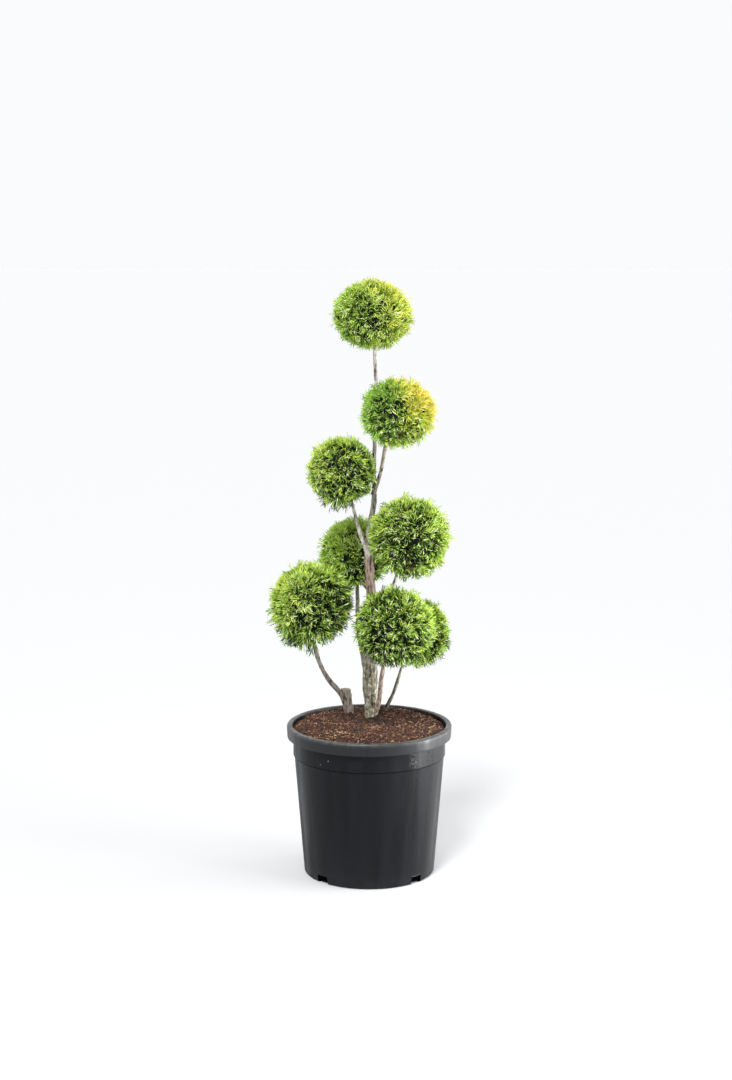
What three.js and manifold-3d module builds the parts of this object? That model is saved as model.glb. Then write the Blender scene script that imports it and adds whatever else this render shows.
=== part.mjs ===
// A golden arborvitae clipped into eight balls on bare stems, growing in a round nursery pot.
// Millimetres, +Z up. The origin is the centre of the pot's flat underside, and the front is towards -Y.
import * as THREE from "three";
import { mergeVertices } from "three/addons/utils/BufferGeometryUtils.js";
import Module from "manifold-3d";

const wasm = await Module();
wasm.setup();

// Clearance between neighbouring solids.
const GAP = 0.3;

// The pot: a thin black cup with a hanging rim band, a collar under it and a tapering body.
const POT = {
  height: 285,
  rimRadius: 156.5,
  rimBand: 23,
  rimWidth: 10.5,
  rimRound: 3.5,
  rimDraft: 0.8,
  collarRadius: 144.5,
  collarHeight: 34,
  collarStep: 2,
  baseRadius: 124.3,
  footRound: 5,
  wall: 3,
  segments: 40,
};
const NOTCH = { count: 4, width: 30, height: 15, depth: 14, firstAngle: Math.PI / 4 };

// The peat: level round the stems and just over the rim there, falling towards the pot's wall.
const GROUND = 288;
const SOIL = { levelRadius: 108, edgeDrop: 9, rings: 3, lump: 1.6, lumpPitch: 0.12 };

// Each limb is a list of stations: x, y, height and radius. A foot starts under the ground and is cut there.
const TRUNK = [
  [6, 20, 273, 12.8],
  [3, 20, 320, 11.9],
  [1, 20, 375, 13.8],
  [1, 20, 411, 12.2],
  [2, 20, 454, 9.1],
  [3, 20, 527, 8.8],
  [1, 20, 577, 8.7],
  [-1, 20, 611, 7.4],
  [1, 20, 660, 5.6],
  [8, 20, 702, 5.0],
  [9, 20, 744, 3.7],
  [10, 20, 823, 3.5],
  [12, 20, 925, 3.4],
  [10, 20, 1001, 3.3],
];
const BOUGHS = {
  bough_upper_right: [
    [8, 20, 723, 4.0],
    [20, 0, 764, 3.5],
    [30, -26, 821, 3.2],
  ],
  bough_upper_left: [
    [0, 20, 603, 5.2],
    [-7, 13, 622, 4.7],
    [-20, 5, 660, 3.6],
    [-33, -5, 711, 2.9],
  ],
  bough_middle_right: [
    [3, 20, 421, 4.2],
    [17, 23, 455, 3.7],
    [39, 19, 525, 3.4],
    [53, 2, 576, 3.2],
  ],
  bough_middle_back: [
    [-1, 20, 363, 5.0],
    [-14, 38, 415, 4.4],
    [-22, 68, 480, 3.9],
    [-23, 86, 533, 3.5],
  ],
  bough_lower_front: [
    [8, 18, 298, 4.8],
    [17, 7, 321, 4.5],
    [23, -20, 380, 4.1],
    [30, -33, 419, 3.7],
  ],
};
const LEFT_BOUGH = [
  [-43, 45, 314, 6.8],
  [-56, 43, 334, 5.1],
  [-81, 34, 367, 4.4],
  [-98, 20, 407, 4.1],
  [-105, 11, 441, 3.8],
];
const LEFT_STEM = [
  [-38, 46, 273, 9.2],
  [-40, 45, 309, 8.8],
  [-45, 45, 347, 9.2],
];
const RIGHT_STEM = [
  [21, 90, 273, 4.4],
  [47, 85, 324, 3.3],
  [66, 80, 388, 2.6],
];

// The sawn top of the left stem slopes down to the right.
const SAW_CUT = { height: 341, tilt: 0.16, reach: 60 };
// A ring of old bark stands out round the left stem just above the ground.
const FOOT_RING = { height: 305, radius: 10, upperRadius: 9.4, thickness: 5 };
// A short dead twig stands out of the trunk's left side.
const DEAD_TWIG = [
  [-3, 19, 541, 2.4],
  [-10, 17, 549, 1.9],
  [-16, 15, 558, 1.1],
];

// Faces round a limb, and steps along it.
const TRUNK_MESH = { sides: 10, steps: 26 };
const BOUGH_MESH = { sides: 8, steps: 8 };
const TWIG_MESH = { sides: 3, steps: 1 };
const STUB_MESH = { sides: 5, steps: 3 };
const STEM_MESH = { sides: 10, steps: 3 };

// Each clipped ball: centre, radius across, height above and below its centre, and the limb that carries it.
const BALLS = {
  foliage_top: { centre: [6, 20, 1059], across: 77, rise: 72, drop: 60, limb: "trunk" },
  foliage_upper_right: { centre: [53, -45, 885], across: 71, rise: 66, drop: 66, limb: "bough_upper_right" },
  foliage_upper_left: { centre: [-52, -10, 773], across: 66, rise: 66, drop: 66, limb: "bough_upper_left" },
  foliage_middle_right: { centre: [76, -20, 648], across: 77, rise: 78, drop: 78, limb: "bough_middle_right" },
  foliage_middle_back: { centre: [-26, 95, 599], across: 71, rise: 69, drop: 69, limb: "bough_middle_back" },
  foliage_lower_left: { centre: [-110, 10, 516], across: 80, rise: 78, drop: 78, limb: "bough_lower_left" },
  foliage_lower_front: { centre: [47, -65, 487], across: 76, rise: 73, drop: 73, limb: "bough_lower_front" },
  foliage_lower_right: { centre: [90, 75, 448], across: 66, rise: 67, drop: 67, limb: "stem_lower_right" },
};

// How a ball grows: twigs leave its stem's end evenly all round, and each ends in a fan of toothed sprays.
// Ways along a twig or spray are shares of the ball's reach from its heart, and angles are radians.
const GROWTH = {
  twigs: 12,
  spraysPerTwig: 3,
  twigEnd: 0.7,
  twigRadius: 1.7,
  sprayRoot: 0.5,
  spraySpread: 0.36,
  jitter: 0.1,
  trimLow: 0.955,
  trimHigh: 1.0,
  sprayWidth: 34,
  sprayThickness: 2.6,
  coreShare: 0.76,
  coreLump: 0.045,
  coreWaves: 5,
  coreDetail: 1,
  stemLead: 12,
  clearance: 3,
};

// Two balls have a tuft of long sprays hanging out below: its direction, and its end as a share of the reach.
const TUFTS = {
  foliage_upper_left: { direction: [-0.3, -0.2, -0.93], end: 1.26 },
  foliage_lower_left: { direction: [-0.25, -0.2, -0.95], end: 1.28 },
};
const TUFT_GROWTH = { sprays: 3, spread: 0.16 };

// A spray's half outline as shares of its width and length: a stalk, a side tooth and a notch, then the tip.
const SPRAY_OUTLINE = [
  [0.1, 0],
  [0.5, 0.8],
  [0.22, 0.74],
  [0, 1],
];
const SPRAY_RIDGE = 0.48;

const FULL_TURN = 2 * Math.PI;
const QUARTER_TURN = Math.PI / 2;
const GOLDEN_ANGLE = Math.PI * (3 - Math.sqrt(5));
// The steep wave that scatters whole numbers into repeatable random shares.
const SCATTER = { number: 12.9898, salt: 78.233, height: 43758.5453 };

const material = (color, roughness, metalness = 0) =>
  new THREE.MeshStandardMaterial({ color, roughness, metalness, flatShading: true });
const POT_PLASTIC = material("#2b2d30", 0.45);
const PEAT = material("#4d2f22", 1);
const BARK = material("#7c6b5c", 0.9);
const GOLDEN_FOLIAGE = material("#a9b42c", 0.8);
const GREEN_FOLIAGE = material("#6f9a2a", 0.8);

// A repeatable random share between 0 and 1 for a whole number and a salt.
function share(number, salt) {
  const wave = Math.sin(number * SCATTER.number + salt * SCATTER.salt) * SCATTER.height;
  return wave - Math.floor(wave);
}

// A closed geometry as a solid, its shared vertices merged.
function solidOf(geometry) {
  const bare = geometry.clone();
  bare.deleteAttribute("normal");
  bare.deleteAttribute("uv");
  const merged = mergeVertices(bare, 1e-4);
  const mesh = new wasm.Mesh({
    numProp: 3,
    vertProperties: new Float32Array(merged.attributes.position.array),
    triVerts: new Uint32Array(merged.index.array),
  });
  return new wasm.Manifold(mesh);
}

// A solid's largest closed surface alone: loose scraps are dropped, and a hollow sealed by a join is filled.
function mainBody(solid) {
  return solid.decompose().reduce((largest, body) => (body.volume() > largest.volume() ? body : largest));
}

// A solid as a named mesh.
function pieceOf(name, solid, surface) {
  const { vertProperties, triVerts } = solid.getMesh();
  const geometry = new THREE.BufferGeometry();
  geometry.setAttribute("position", new THREE.BufferAttribute(vertProperties, 3));
  geometry.setIndex(new THREE.BufferAttribute(triVerts, 1));
  geometry.computeVertexNormals();
  const mesh = new THREE.Mesh(geometry, surface);
  mesh.name = name;
  return mesh;
}

// A profile of radius and height turned round the upright axis.
function turned(profile, segments) {
  const points = profile.map(([radius, height]) => new THREE.Vector2(radius, height));
  return new THREE.LatheGeometry(points, segments).rotateX(QUARTER_TURN);
}

// A round corner from one angle to another, as profile points.
function arc(centreRadius, centreHeight, radius, from, to, steps) {
  return Array.from({ length: steps + 1 }, (_, step) => {
    const angle = from + ((to - from) * step) / steps;
    return [centreRadius + radius * Math.cos(angle), centreHeight + radius * Math.sin(angle)];
  });
}

const collarTop = POT.height - POT.rimBand;
const collarFoot = collarTop - POT.collarHeight;
const bodyTopRadius = POT.collarRadius - POT.collarStep;
const footRadius = POT.baseRadius - POT.footRound;

// The pot's inside from its floor up to its mouth: radius and height.
const POT_INSIDE = [
  [footRadius, POT.wall],
  [POT.baseRadius - POT.wall, POT.footRound],
  [bodyTopRadius - POT.wall, collarFoot],
  [POT.collarRadius - POT.wall, collarTop],
  [POT.rimRadius - POT.rimWidth, POT.height],
];

// The outside and inside of the pot in one closed profile, from the axis round to the axis.
function potProfile() {
  const { height, rimRadius, rimRound, rimDraft, collarRadius, footRound, wall } = POT;
  return [
    [0, 0],
    ...arc(footRadius, footRound, footRound, -QUARTER_TURN, 0, 2),
    [bodyTopRadius, collarFoot],
    [collarRadius, collarFoot + POT.collarStep],
    [collarRadius, collarTop],
    [rimRadius - rimDraft, collarTop],
    ...arc(rimRadius - rimRound, height - rimRound, rimRound, 0, QUARTER_TURN, 2),
    ...POT_INSIDE.toReversed(),
    [0, wall],
  ];
}

// The pot with its drain notches cut through the foot's corner.
function pot() {
  let solid = solidOf(turned(potProfile(), POT.segments));
  const notch = new THREE.BoxGeometry(NOTCH.depth * 2, NOTCH.width, NOTCH.height * 2);
  notch.translate(POT.baseRadius, 0, 0);
  for (let index = 0; index < NOTCH.count; index += 1) {
    const angle = NOTCH.firstAngle + (index * FULL_TURN) / NOTCH.count;
    solid = solid.subtract(solidOf(notch.clone().rotateZ(angle)));
  }
  return solid;
}

// The peat fills the pot, clear of its wall. Its top is level round the stems and lumpy towards the wall.
function soil() {
  const room = 2 * GAP;
  const top = GROUND - GAP;
  const edgeHeight = top - SOIL.edgeDrop;
  const sides = POT_INSIDE.slice(0, -1).map(([radius, height]) => [radius - room, height + GAP]);
  const [collar, mouth] = POT_INSIDE.slice(-2);
  const edgeRadius = THREE.MathUtils.mapLinear(edgeHeight, collar[1], mouth[1], collar[0], mouth[0]) - room;
  const rings = Array.from({ length: SOIL.rings }, (_, ring) => {
    const way = (ring + 1) / SOIL.rings;
    const radius = THREE.MathUtils.lerp(edgeRadius, SOIL.levelRadius, way);
    return [radius, THREE.MathUtils.lerp(edgeHeight, top, Math.sin(way * QUARTER_TURN))];
  });
  const profile = [[0, POT.wall + GAP], ...sides, [edgeRadius, edgeHeight], ...rings, [0, top]];
  const geometry = turned(profile, POT.segments);
  const position = geometry.attributes.position;
  const point = new THREE.Vector3();
  for (let index = 0; index < position.count; index += 1) {
    point.fromBufferAttribute(position, index);
    const radius = Math.hypot(point.x, point.y);
    const onSlope = point.z > edgeHeight && radius > SOIL.levelRadius + 1 && radius < edgeRadius - 1;
    const lump = Math.sin(point.x * SOIL.lumpPitch) * Math.cos(point.y * SOIL.lumpPitch) * SOIL.lump;
    if (onSlope) position.setZ(index, point.z + lump);
  }
  return solidOf(geometry);
}

// A limb's radius at a height, between its stations.
function girthAt(stations, height) {
  const upper = stations.findIndex((station) => station[2] >= height);
  if (upper === -1) return stations.at(-1)[3];
  if (upper === 0) return stations[0][3];
  const [low, high] = [stations[upper - 1], stations[upper]];
  return THREE.MathUtils.mapLinear(height, low[2], high[2], low[3], high[3]);
}

const curveOf = (stations) =>
  new THREE.CatmullRomCurve3(stations.map(([x, y, z]) => new THREE.Vector3(x, y, z)));

// A round bar bent along a limb's curve, its radius following the stations, grown by an allowance.
function limb(stations, { sides, steps }, allowance = 0) {
  const curve = curveOf(stations);
  const frames = curve.computeFrenetFrames(steps, false);
  const geometry = new THREE.CylinderGeometry(1, 1, 1, sides, steps);
  const position = geometry.attributes.position;
  const ring = new THREE.Vector3();
  for (let index = 0; index < position.count; index += 1) {
    ring.fromBufferAttribute(position, index);
    const step = Math.round((ring.y + 0.5) * steps);
    const point = curve.getPointAt(step / steps);
    const radius = girthAt(stations, point.z) + allowance;
    point.addScaledVector(frames.normals[step], ring.x * radius);
    point.addScaledVector(frames.binormals[step], -ring.z * radius);
    position.setXYZ(index, point.x, point.y, point.z);
  }
  return solidOf(geometry);
}

// Everything under the ground, to cut the stems' feet flat.
function underground() {
  const block = new THREE.BoxGeometry(2 * POT.rimRadius, 2 * POT.rimRadius, POT.height);
  return solidOf(block.translate(0, 0, GROUND - POT.height / 2));
}

function trunk() {
  return limb(TRUNK, TRUNK_MESH).add(limb(DEAD_TWIG, STUB_MESH)).subtract(underground());
}

// A bough starts inside the limb that bears it and is cut back to stand just clear of its bark.
function bough(stations, bearer, bearerMesh) {
  return mainBody(limb(stations, BOUGH_MESH).subtract(limb(bearer, bearerMesh, GAP)));
}

// The left stem is an old sawn-off post with a bark ring at its foot.
function leftStem() {
  const [, middle, top] = LEFT_STEM;
  const { upperRadius, radius, thickness, height } = FOOT_RING;
  const ring = new THREE.CylinderGeometry(upperRadius, radius, thickness, STEM_MESH.sides);
  ring.rotateX(QUARTER_TURN).translate(middle[0], middle[1], height);
  const saw = new THREE.BoxGeometry(SAW_CUT.reach, SAW_CUT.reach, SAW_CUT.reach);
  saw.translate(0, 0, SAW_CUT.reach / 2).rotateY(SAW_CUT.tilt).translate(top[0], top[1], SAW_CUT.height);
  return limb(LEFT_STEM, STEM_MESH).subtract(solidOf(saw)).add(solidOf(ring)).subtract(underground());
}

function rightStem() {
  return limb(RIGHT_STEM, BOUGH_MESH).subtract(underground());
}

const LIMBS = {
  trunk: TRUNK,
  ...BOUGHS,
  stem_lower_left: LEFT_STEM,
  bough_lower_left: LEFT_BOUGH,
  stem_lower_right: RIGHT_STEM,
};
// Close points along every limb, each with its radius, to keep the foliage off them.
const LIMB_POINTS = Object.values(LIMBS).flatMap((stations) =>
  curveOf(stations)
    .getSpacedPoints(150)
    .map((centre) => ({ centre, radius: girthAt(stations, centre.z) })),
);

// How far a ball reaches from its centre in a direction.
function reachOf(ball, direction) {
  const { x, y, z } = direction;
  const half = z > 0 ? ball.rise : ball.drop;
  return 1 / Math.sqrt((x * x + y * y) / ball.across ** 2 + (z * z) / half ** 2);
}

// A point set off from a ball's centre by a share of its reach in a direction.
function placeIn(ball, direction, part) {
  const point = new THREE.Vector3(...ball.centre);
  return point.addScaledVector(direction, reachOf(ball, direction) * part);
}

// Direction number index of count, spread evenly over a sphere by the golden angle and moved a little.
function evenDirection(index, count, salt) {
  const height = 1 - (2 * index + 1) / count;
  const flat = Math.sqrt(1 - height * height);
  const turn = index * GOLDEN_ANGLE + salt;
  const direction = new THREE.Vector3(flat * Math.cos(turn), flat * Math.sin(turn), height);
  direction.x += (share(index, salt) - 0.5) * 2 * GROWTH.jitter;
  direction.y += (share(index, salt + 1) - 0.5) * 2 * GROWTH.jitter;
  direction.z += (share(index, salt + 2) - 0.5) * 2 * GROWTH.jitter;
  return direction.normalize();
}

// A direction leant away from another by an angle, towards a turn round it.
function leant(direction, angle, turn) {
  const aside = new THREE.Vector3(0, 0, 1).cross(direction);
  if (aside.lengthSq() < 1e-6) aside.set(1, 0, 0);
  aside.normalize().applyAxisAngle(direction, turn);
  return direction.clone().applyAxisAngle(aside, angle);
}

// Whether a point of a ball's spray would touch a limb or leave the ball's own space for another ball's.
function blocked(point, ownName) {
  const nearLimb = LIMB_POINTS.some(
    ({ centre, radius }) => centre.distanceTo(point) < radius + GROWTH.clearance,
  );
  const nearBall = Object.entries(BALLS).some(([name, ball]) => {
    if (name === ownName) return false;
    const offset = point.clone().sub(new THREE.Vector3(...ball.centre));
    return offset.length() < reachOf(ball, offset.clone().normalize()) + GAP;
  });
  return nearLimb || nearBall;
}

// A toothed blade: the outline's points round a ridge that stands out on both faces.
function spray(root, tip, roll) {
  const along = tip.clone().sub(root);
  const length = along.length();
  along.normalize();
  const across = leant(along, QUARTER_TURN, roll);
  const face = across.clone().cross(along);
  const width = GROWTH.sprayWidth;
  const at = (side, way, lift) =>
    root
      .clone()
      .addScaledVector(across, side * width)
      .addScaledVector(along, way * length)
      .addScaledVector(face, lift);
  const right = SPRAY_OUTLINE.map(([side, way]) => at(side, way, 0));
  const left = SPRAY_OUTLINE.slice(0, -1).map(([side, way]) => at(-side, way, 0));
  const rim = [...right, ...left.reverse()];
  const front = at(0, SPRAY_RIDGE, GROWTH.sprayThickness / 2);
  const back = at(0, SPRAY_RIDGE, -GROWTH.sprayThickness / 2);
  const corners = rim.flatMap((corner, index) => {
    const next = rim[(index + 1) % rim.length];
    return [front, corner, next, back, next, corner];
  });
  const middles = rim.map((corner) => corner.clone().lerp(front, 0.5));
  return { points: [...rim, ...middles], geometry: new THREE.BufferGeometry().setFromPoints(corners) };
}

// The lumpy core of a ball, which its sprays stand out of.
function core(ball, salt) {
  const geometry = new THREE.IcosahedronGeometry(1, GROWTH.coreDetail);
  const position = geometry.attributes.position;
  const direction = new THREE.Vector3();
  for (let index = 0; index < position.count; index += 1) {
    direction.fromBufferAttribute(position, index).normalize();
    const { x, y, z } = direction.clone().multiplyScalar(GROWTH.coreWaves);
    const wave = Math.sin(x + salt) * Math.cos(y - salt) * Math.cos(z);
    const point = placeIn(ball, direction, GROWTH.coreShare * (1 + GROWTH.coreLump * wave));
    position.setXYZ(index, point.x, point.y, point.z);
  }
  return solidOf(geometry);
}

// A ball's stem carries its limb on, from just clear of the limb's flat tip to the ball's heart.
function stemStations(ball) {
  const stations = LIMBS[ball.limb];
  const tip = new THREE.Vector3(...stations.at(-1));
  const before = new THREE.Vector3(...stations.at(-2));
  const along = tip.clone().sub(before).normalize();
  const radius = stations.at(-1)[3];
  const foot = tip.clone().addScaledVector(along, GAP);
  const bend = tip.clone().addScaledVector(along, GROWTH.stemLead);
  return [
    [...foot, radius],
    [...bend, radius],
    [...ball.centre, radius],
  ];
}

// The long sprays of a ball's hanging tuft, leant evenly round its direction, or none.
function tuft(name, ball, salt) {
  if (!(name in TUFTS)) return [];
  const { direction, end } = TUFTS[name];
  const middle = new THREE.Vector3(...direction).normalize();
  return Array.from({ length: TUFT_GROWTH.sprays }, (_, index) => {
    const outward = leant(middle, TUFT_GROWTH.spread, (index * FULL_TURN) / TUFT_GROWTH.sprays);
    const root = placeIn(ball, outward, GROWTH.sprayRoot);
    return spray(root, placeIn(ball, outward, end), share(index, salt + 6) * Math.PI);
  });
}

// A ball of clipped foliage: its stem, twigs out of the stem's end, a fan of sprays on each twig, and its core.
function foliage(name, ball, order) {
  const salt = order + 1;
  const heart = new THREE.Vector3(...ball.centre);
  let solid = core(ball, salt).add(limb(stemStations(ball), BOUGH_MESH));
  const blades = tuft(name, ball, salt);
  for (let twig = 0; twig < GROWTH.twigs; twig += 1) {
    const heading = evenDirection(twig, GROWTH.twigs, salt);
    const end = placeIn(ball, heading, GROWTH.twigEnd);
    const stations = [heart, end].map((point) => [...point, GROWTH.twigRadius]);
    solid = solid.add(limb(stations, TWIG_MESH));
    const root = placeIn(ball, heading, GROWTH.sprayRoot);
    for (let fan = 0; fan < GROWTH.spraysPerTwig; fan += 1) {
      const number = twig * GROWTH.spraysPerTwig + fan;
      const turn = ((fan + share(twig, salt + 3)) * FULL_TURN) / GROWTH.spraysPerTwig;
      const outward = leant(heading, GROWTH.spraySpread, turn);
      const trim = THREE.MathUtils.lerp(GROWTH.trimLow, GROWTH.trimHigh, share(number, salt + 4));
      blades.push(spray(root, placeIn(ball, outward, trim), share(number, salt + 5) * Math.PI));
    }
  }
  for (const blade of blades) {
    if (blade.points.some((point) => blocked(point, name))) continue;
    solid = solid.add(solidOf(blade.geometry));
  }
  return mainBody(solid);
}

const plant = new THREE.Group();
plant.add(pieceOf("pot", pot(), POT_PLASTIC));
plant.add(pieceOf("soil", soil(), PEAT));
plant.add(pieceOf("trunk", trunk(), BARK));
for (const [name, stations] of Object.entries(BOUGHS)) {
  plant.add(pieceOf(name, bough(stations, TRUNK, TRUNK_MESH), BARK));
}
plant.add(pieceOf("stem_lower_left", leftStem(), BARK));
plant.add(pieceOf("bough_lower_left", bough(LEFT_BOUGH, LEFT_STEM, STEM_MESH), BARK));
plant.add(pieceOf("stem_lower_right", rightStem(), BARK));
Object.entries(BALLS).forEach(([name, ball], order) => {
  const golden = name === "foliage_top" || name === "foliage_upper_right";
  plant.add(pieceOf(name, foliage(name, ball, order), golden ? GOLDEN_FOLIAGE : GREEN_FOLIAGE));
});

export default plant;
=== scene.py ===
"""A golden arborvitae clipped into eight balls on bare stems, growing in a round black nursery pot.

Shapes are worked out in millimetres from the same named sizes as the part's source, and each mesh is made in
metres. +Z is up, the origin is the centre of the pot's flat underside, and the front is towards -Y.
"""

import math

import bpy
import numpy as np
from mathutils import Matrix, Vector


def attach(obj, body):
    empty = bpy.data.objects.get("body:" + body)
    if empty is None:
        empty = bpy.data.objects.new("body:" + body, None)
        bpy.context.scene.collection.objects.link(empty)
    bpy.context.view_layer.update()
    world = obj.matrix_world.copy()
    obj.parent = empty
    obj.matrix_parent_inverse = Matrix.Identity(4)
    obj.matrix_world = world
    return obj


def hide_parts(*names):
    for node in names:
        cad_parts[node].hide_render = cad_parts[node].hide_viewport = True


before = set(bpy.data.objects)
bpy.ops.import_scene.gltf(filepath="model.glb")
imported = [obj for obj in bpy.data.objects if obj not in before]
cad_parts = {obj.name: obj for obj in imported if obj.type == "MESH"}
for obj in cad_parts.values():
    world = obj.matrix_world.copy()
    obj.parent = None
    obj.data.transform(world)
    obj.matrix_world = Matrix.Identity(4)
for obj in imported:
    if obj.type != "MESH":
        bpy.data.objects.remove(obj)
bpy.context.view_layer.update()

MM = 0.001
FULL_TURN = 2 * math.pi
QUARTER_TURN = math.pi / 2
GOLDEN_ANGLE = math.pi * (3 - math.sqrt(5))
UP = np.array([0.0, 0.0, 1.0])
# The steep wave that scatters whole numbers into repeatable random shares.
SCATTER = {"number": 12.9898, "salt": 78.233, "height": 43758.5453}

# The pot: a thin cup with a hanging rim band, a collar under it and a tapering body.
POT = {
    "height": 285,
    "rim_radius": 156.5,
    "rim_band": 23,
    "rim_width": 10.5,
    "rim_round": 3.5,
    "rim_draft": 0.8,
    "collar_radius": 144.5,
    "collar_height": 34,
    "collar_step": 2,
    "base_radius": 124.3,
    "foot_round": 5,
    "wall": 3,
    "groove": 1.6,
    "warp": 0.35,
    "warp_turn": 0.8,
    "warp_height": 200,
    "columns": 312,
}
NOTCH = {"count": 4, "width": 30, "height": 15, "depth": 14, "first_angle": math.pi / 4, "points": 12}
# How far a notch's roof reaches past the wall, and how far its edges lie from its sides, as an angle.
NOTCH_PAST = 1.3
NOTCH_EDGE = 0.0008
# An edge of the pot bent more than this stays crisp.
SHARP = math.radians(40)
# A rough patch of plain dots on the collar at the front right, and two single nubs: angle, height and size.
STIPPLE = {"angle": -0.83, "spread": 0.2, "low": 232, "high": 258, "count": 210, "dot": 1.1, "lift": 0.6}
NUBS = [(-2.128, 245, 2.0), (-2.25, 236, 1.2)]

# The peat: level round the stems and just over the rim there, falling towards the pot's wall.
GROUND = 287.7
SOIL = {"level_radius": 108, "edge_radius": 143.5, "edge_drop": 9, "depth": 24, "chips": 5200, "fibres": 2600}
# Lumps and crumbs of the peat's top: how wide, how high, and where they start in the noise.
SOIL_LUMPS = [(23, 1.5, 9), (9, 1.1, 9), (3.6, 0.8, 90)]
# Half the length, width and height of a chip and of a fibre of peat, and how far it may be tipped.
CHIP = (2.8, 1.2, 0.8, 0.8)
FIBRE = (5.6, 0.7, 0.55, 0.6)
# Bits are dealt their tints by luck, in these steps from dark crumbs to pale straw.
BIT_STEPS = [0.34, 0.62, 0.86, 1.035, 1.12]
# Where more straw lies on the peat, x and y, and how far round there.
STRAW_SPOTS = [(-58, -76), (98, 38)]
STRAW_REACH = 17
# Peat lies banked up against each stem: x, y, the stem's radius and the bank's height.
BANKS = [(7, 20, 12.5, 8), (-38, 46, 9, 6), (21, 90, 4.4, 4.5), (10, 12, 6, 7)]
BANK_REACH = 10
# How far round a stem the peat's bits are darker.
STEM_SHADE = 20

# Each limb is a list of stations: x, y, height and radius.
TRUNK = [
    (6, 20, 273, 12.8),
    (3, 20, 320, 11.9),
    (1, 20, 375, 13.8),
    (1, 20, 411, 12.2),
    (2, 20, 454, 9.1),
    (3, 20, 527, 8.8),
    (1, 20, 577, 8.7),
    (-1, 20, 611, 7.4),
    (1, 20, 660, 5.6),
    (8, 20, 702, 5.0),
    (9, 20, 744, 3.7),
    (10, 20, 823, 3.5),
    (12, 20, 925, 3.4),
    (10, 20, 1001, 3.3),
]
BOUGHS = {
    "bough_upper_right": [(8, 20, 723, 4.0), (20, 0, 764, 3.5), (30, -26, 821, 3.2)],
    "bough_upper_left": [(0, 20, 603, 5.2), (-7, 13, 622, 4.7), (-20, 5, 660, 3.6), (-33, -5, 711, 2.9)],
    "bough_middle_right": [(3, 20, 421, 4.2), (17, 23, 455, 3.7), (39, 19, 525, 3.4), (53, 2, 576, 3.2)],
    "bough_middle_back": [(-1, 20, 363, 5.0), (-14, 38, 415, 4.4), (-22, 68, 480, 3.9), (-23, 86, 533, 3.5)],
    "bough_lower_front": [(8, 18, 298, 4.8), (17, 7, 321, 4.5), (23, -20, 380, 4.1), (30, -33, 419, 3.7)],
    "bough_lower_left": [
        (-43, 45, 314, 6.8),
        (-56, 43, 334, 5.1),
        (-81, 34, 367, 4.4),
        (-98, 20, 407, 4.1),
        (-105, 11, 441, 3.8),
    ],
}
LEFT_STEM = [(-38, 46, 273, 9.2), (-40, 45, 309, 8.8), (-45, 45, 347, 9.2)]
RIGHT_STEM = [(21, 90, 273, 4.4), (47, 85, 324, 3.3), (66, 80, 388, 2.6)]
# The sawn top of the left stem slopes down to the right, and a ring of old bark stands out near its foot.
SAW_CUT = {"height": 341, "tilt": 0.16, "draw_in": 0.12, "rise": 0.35}
FOOT_RING = {"height": 305, "lift": 0.9, "thickness": 3.4}
DEAD_TWIG = [(-3, 19, 541, 2.4), (-10, 17, 549, 1.9), (-16, 15, 558, 1.1)]

# Scars and knots on a limb: height, turn round it as a share, how far each reaches, and how far it lifts.
KNOTS = {
    "trunk": [
        (344, 0.62, 7, 3.0),
        (361, 0.33, 6, 2.4),
        (381, 0.12, 8, 2.2),
        (397, 0.47, 7, 2.6),
        (420, 0.80, 6, 1.8),
        (436, 0.05, 6, 1.8),
        (475, 0.55, 6, 1.6),
        (498, 0.86, 7, 1.6),
        (530, 0.70, 9, 1.7),
        (575, 0.93, 7, 1.5),
        (607, 0.78, 10, 2.2),
        (650, 0.60, 5, 1.4),
        (710, 0.98, 8, 1.6),
        (721, 0.80, 8, 1.5),
        (776, 0.40, 4, 0.9),
        (848, 0.70, 4, 0.9),
        (901, 0.15, 4, 0.9),
        (967, 0.60, 4, 0.9),
    ],
    "bough_upper_right": [(777, 0.9, 4, 0.9), (802, 0.3, 3, 0.8)],
    "bough_upper_left": [(637, 0.1, 5, 0.9), (681, 0.7, 4, 0.8)],
    "bough_middle_right": [(479, 0.8, 4, 0.9), (550, 0.2, 4, 0.9)],
    "bough_middle_back": [(435, 0.6, 5, 1.0), (509, 0.9, 4, 0.9)],
    "bough_lower_front": [(327, 0.8, 5, 1.2), (346, 0.05, 5, 1.1), (367, 0.6, 4, 1.0), (390, 0.95, 4, 1.0)],
    "bough_lower_left": [(340, 0.2, 5, 1.3), (357, 0.75, 5, 1.0), (388, 0.4, 4, 0.9), (415, 0.8, 4, 0.8)],
    "left_stem": [(317, 0.75, 7, 1.4), (332, 0.5, 6, 1.5), (336, 0.95, 5, 1.0)],
    "right_stem": [(309, 0.4, 4, 0.8), (346, 0.9, 4, 0.8)],
}

# Each clipped ball: centre, radius across, height above and below its centre, and the limb that carries it.
BALLS = {
    "foliage_top": ((6, 20, 1059), 77, 72, 60, "trunk"),
    "foliage_upper_right": ((53, -45, 885), 71, 66, 66, "bough_upper_right"),
    "foliage_upper_left": ((-52, -10, 773), 66, 66, 66, "bough_upper_left"),
    "foliage_middle_right": ((76, -20, 648), 77, 78, 78, "bough_middle_right"),
    "foliage_middle_back": ((-26, 95, 599), 71, 69, 69, "bough_middle_back"),
    "foliage_lower_left": ((-110, 10, 516), 80, 78, 78, "bough_lower_left"),
    "foliage_lower_front": ((47, -65, 487), 76, 73, 73, "bough_lower_front"),
    "foliage_lower_right": ((90, 75, 448), 66, 67, 67, "right_stem"),
}

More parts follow.
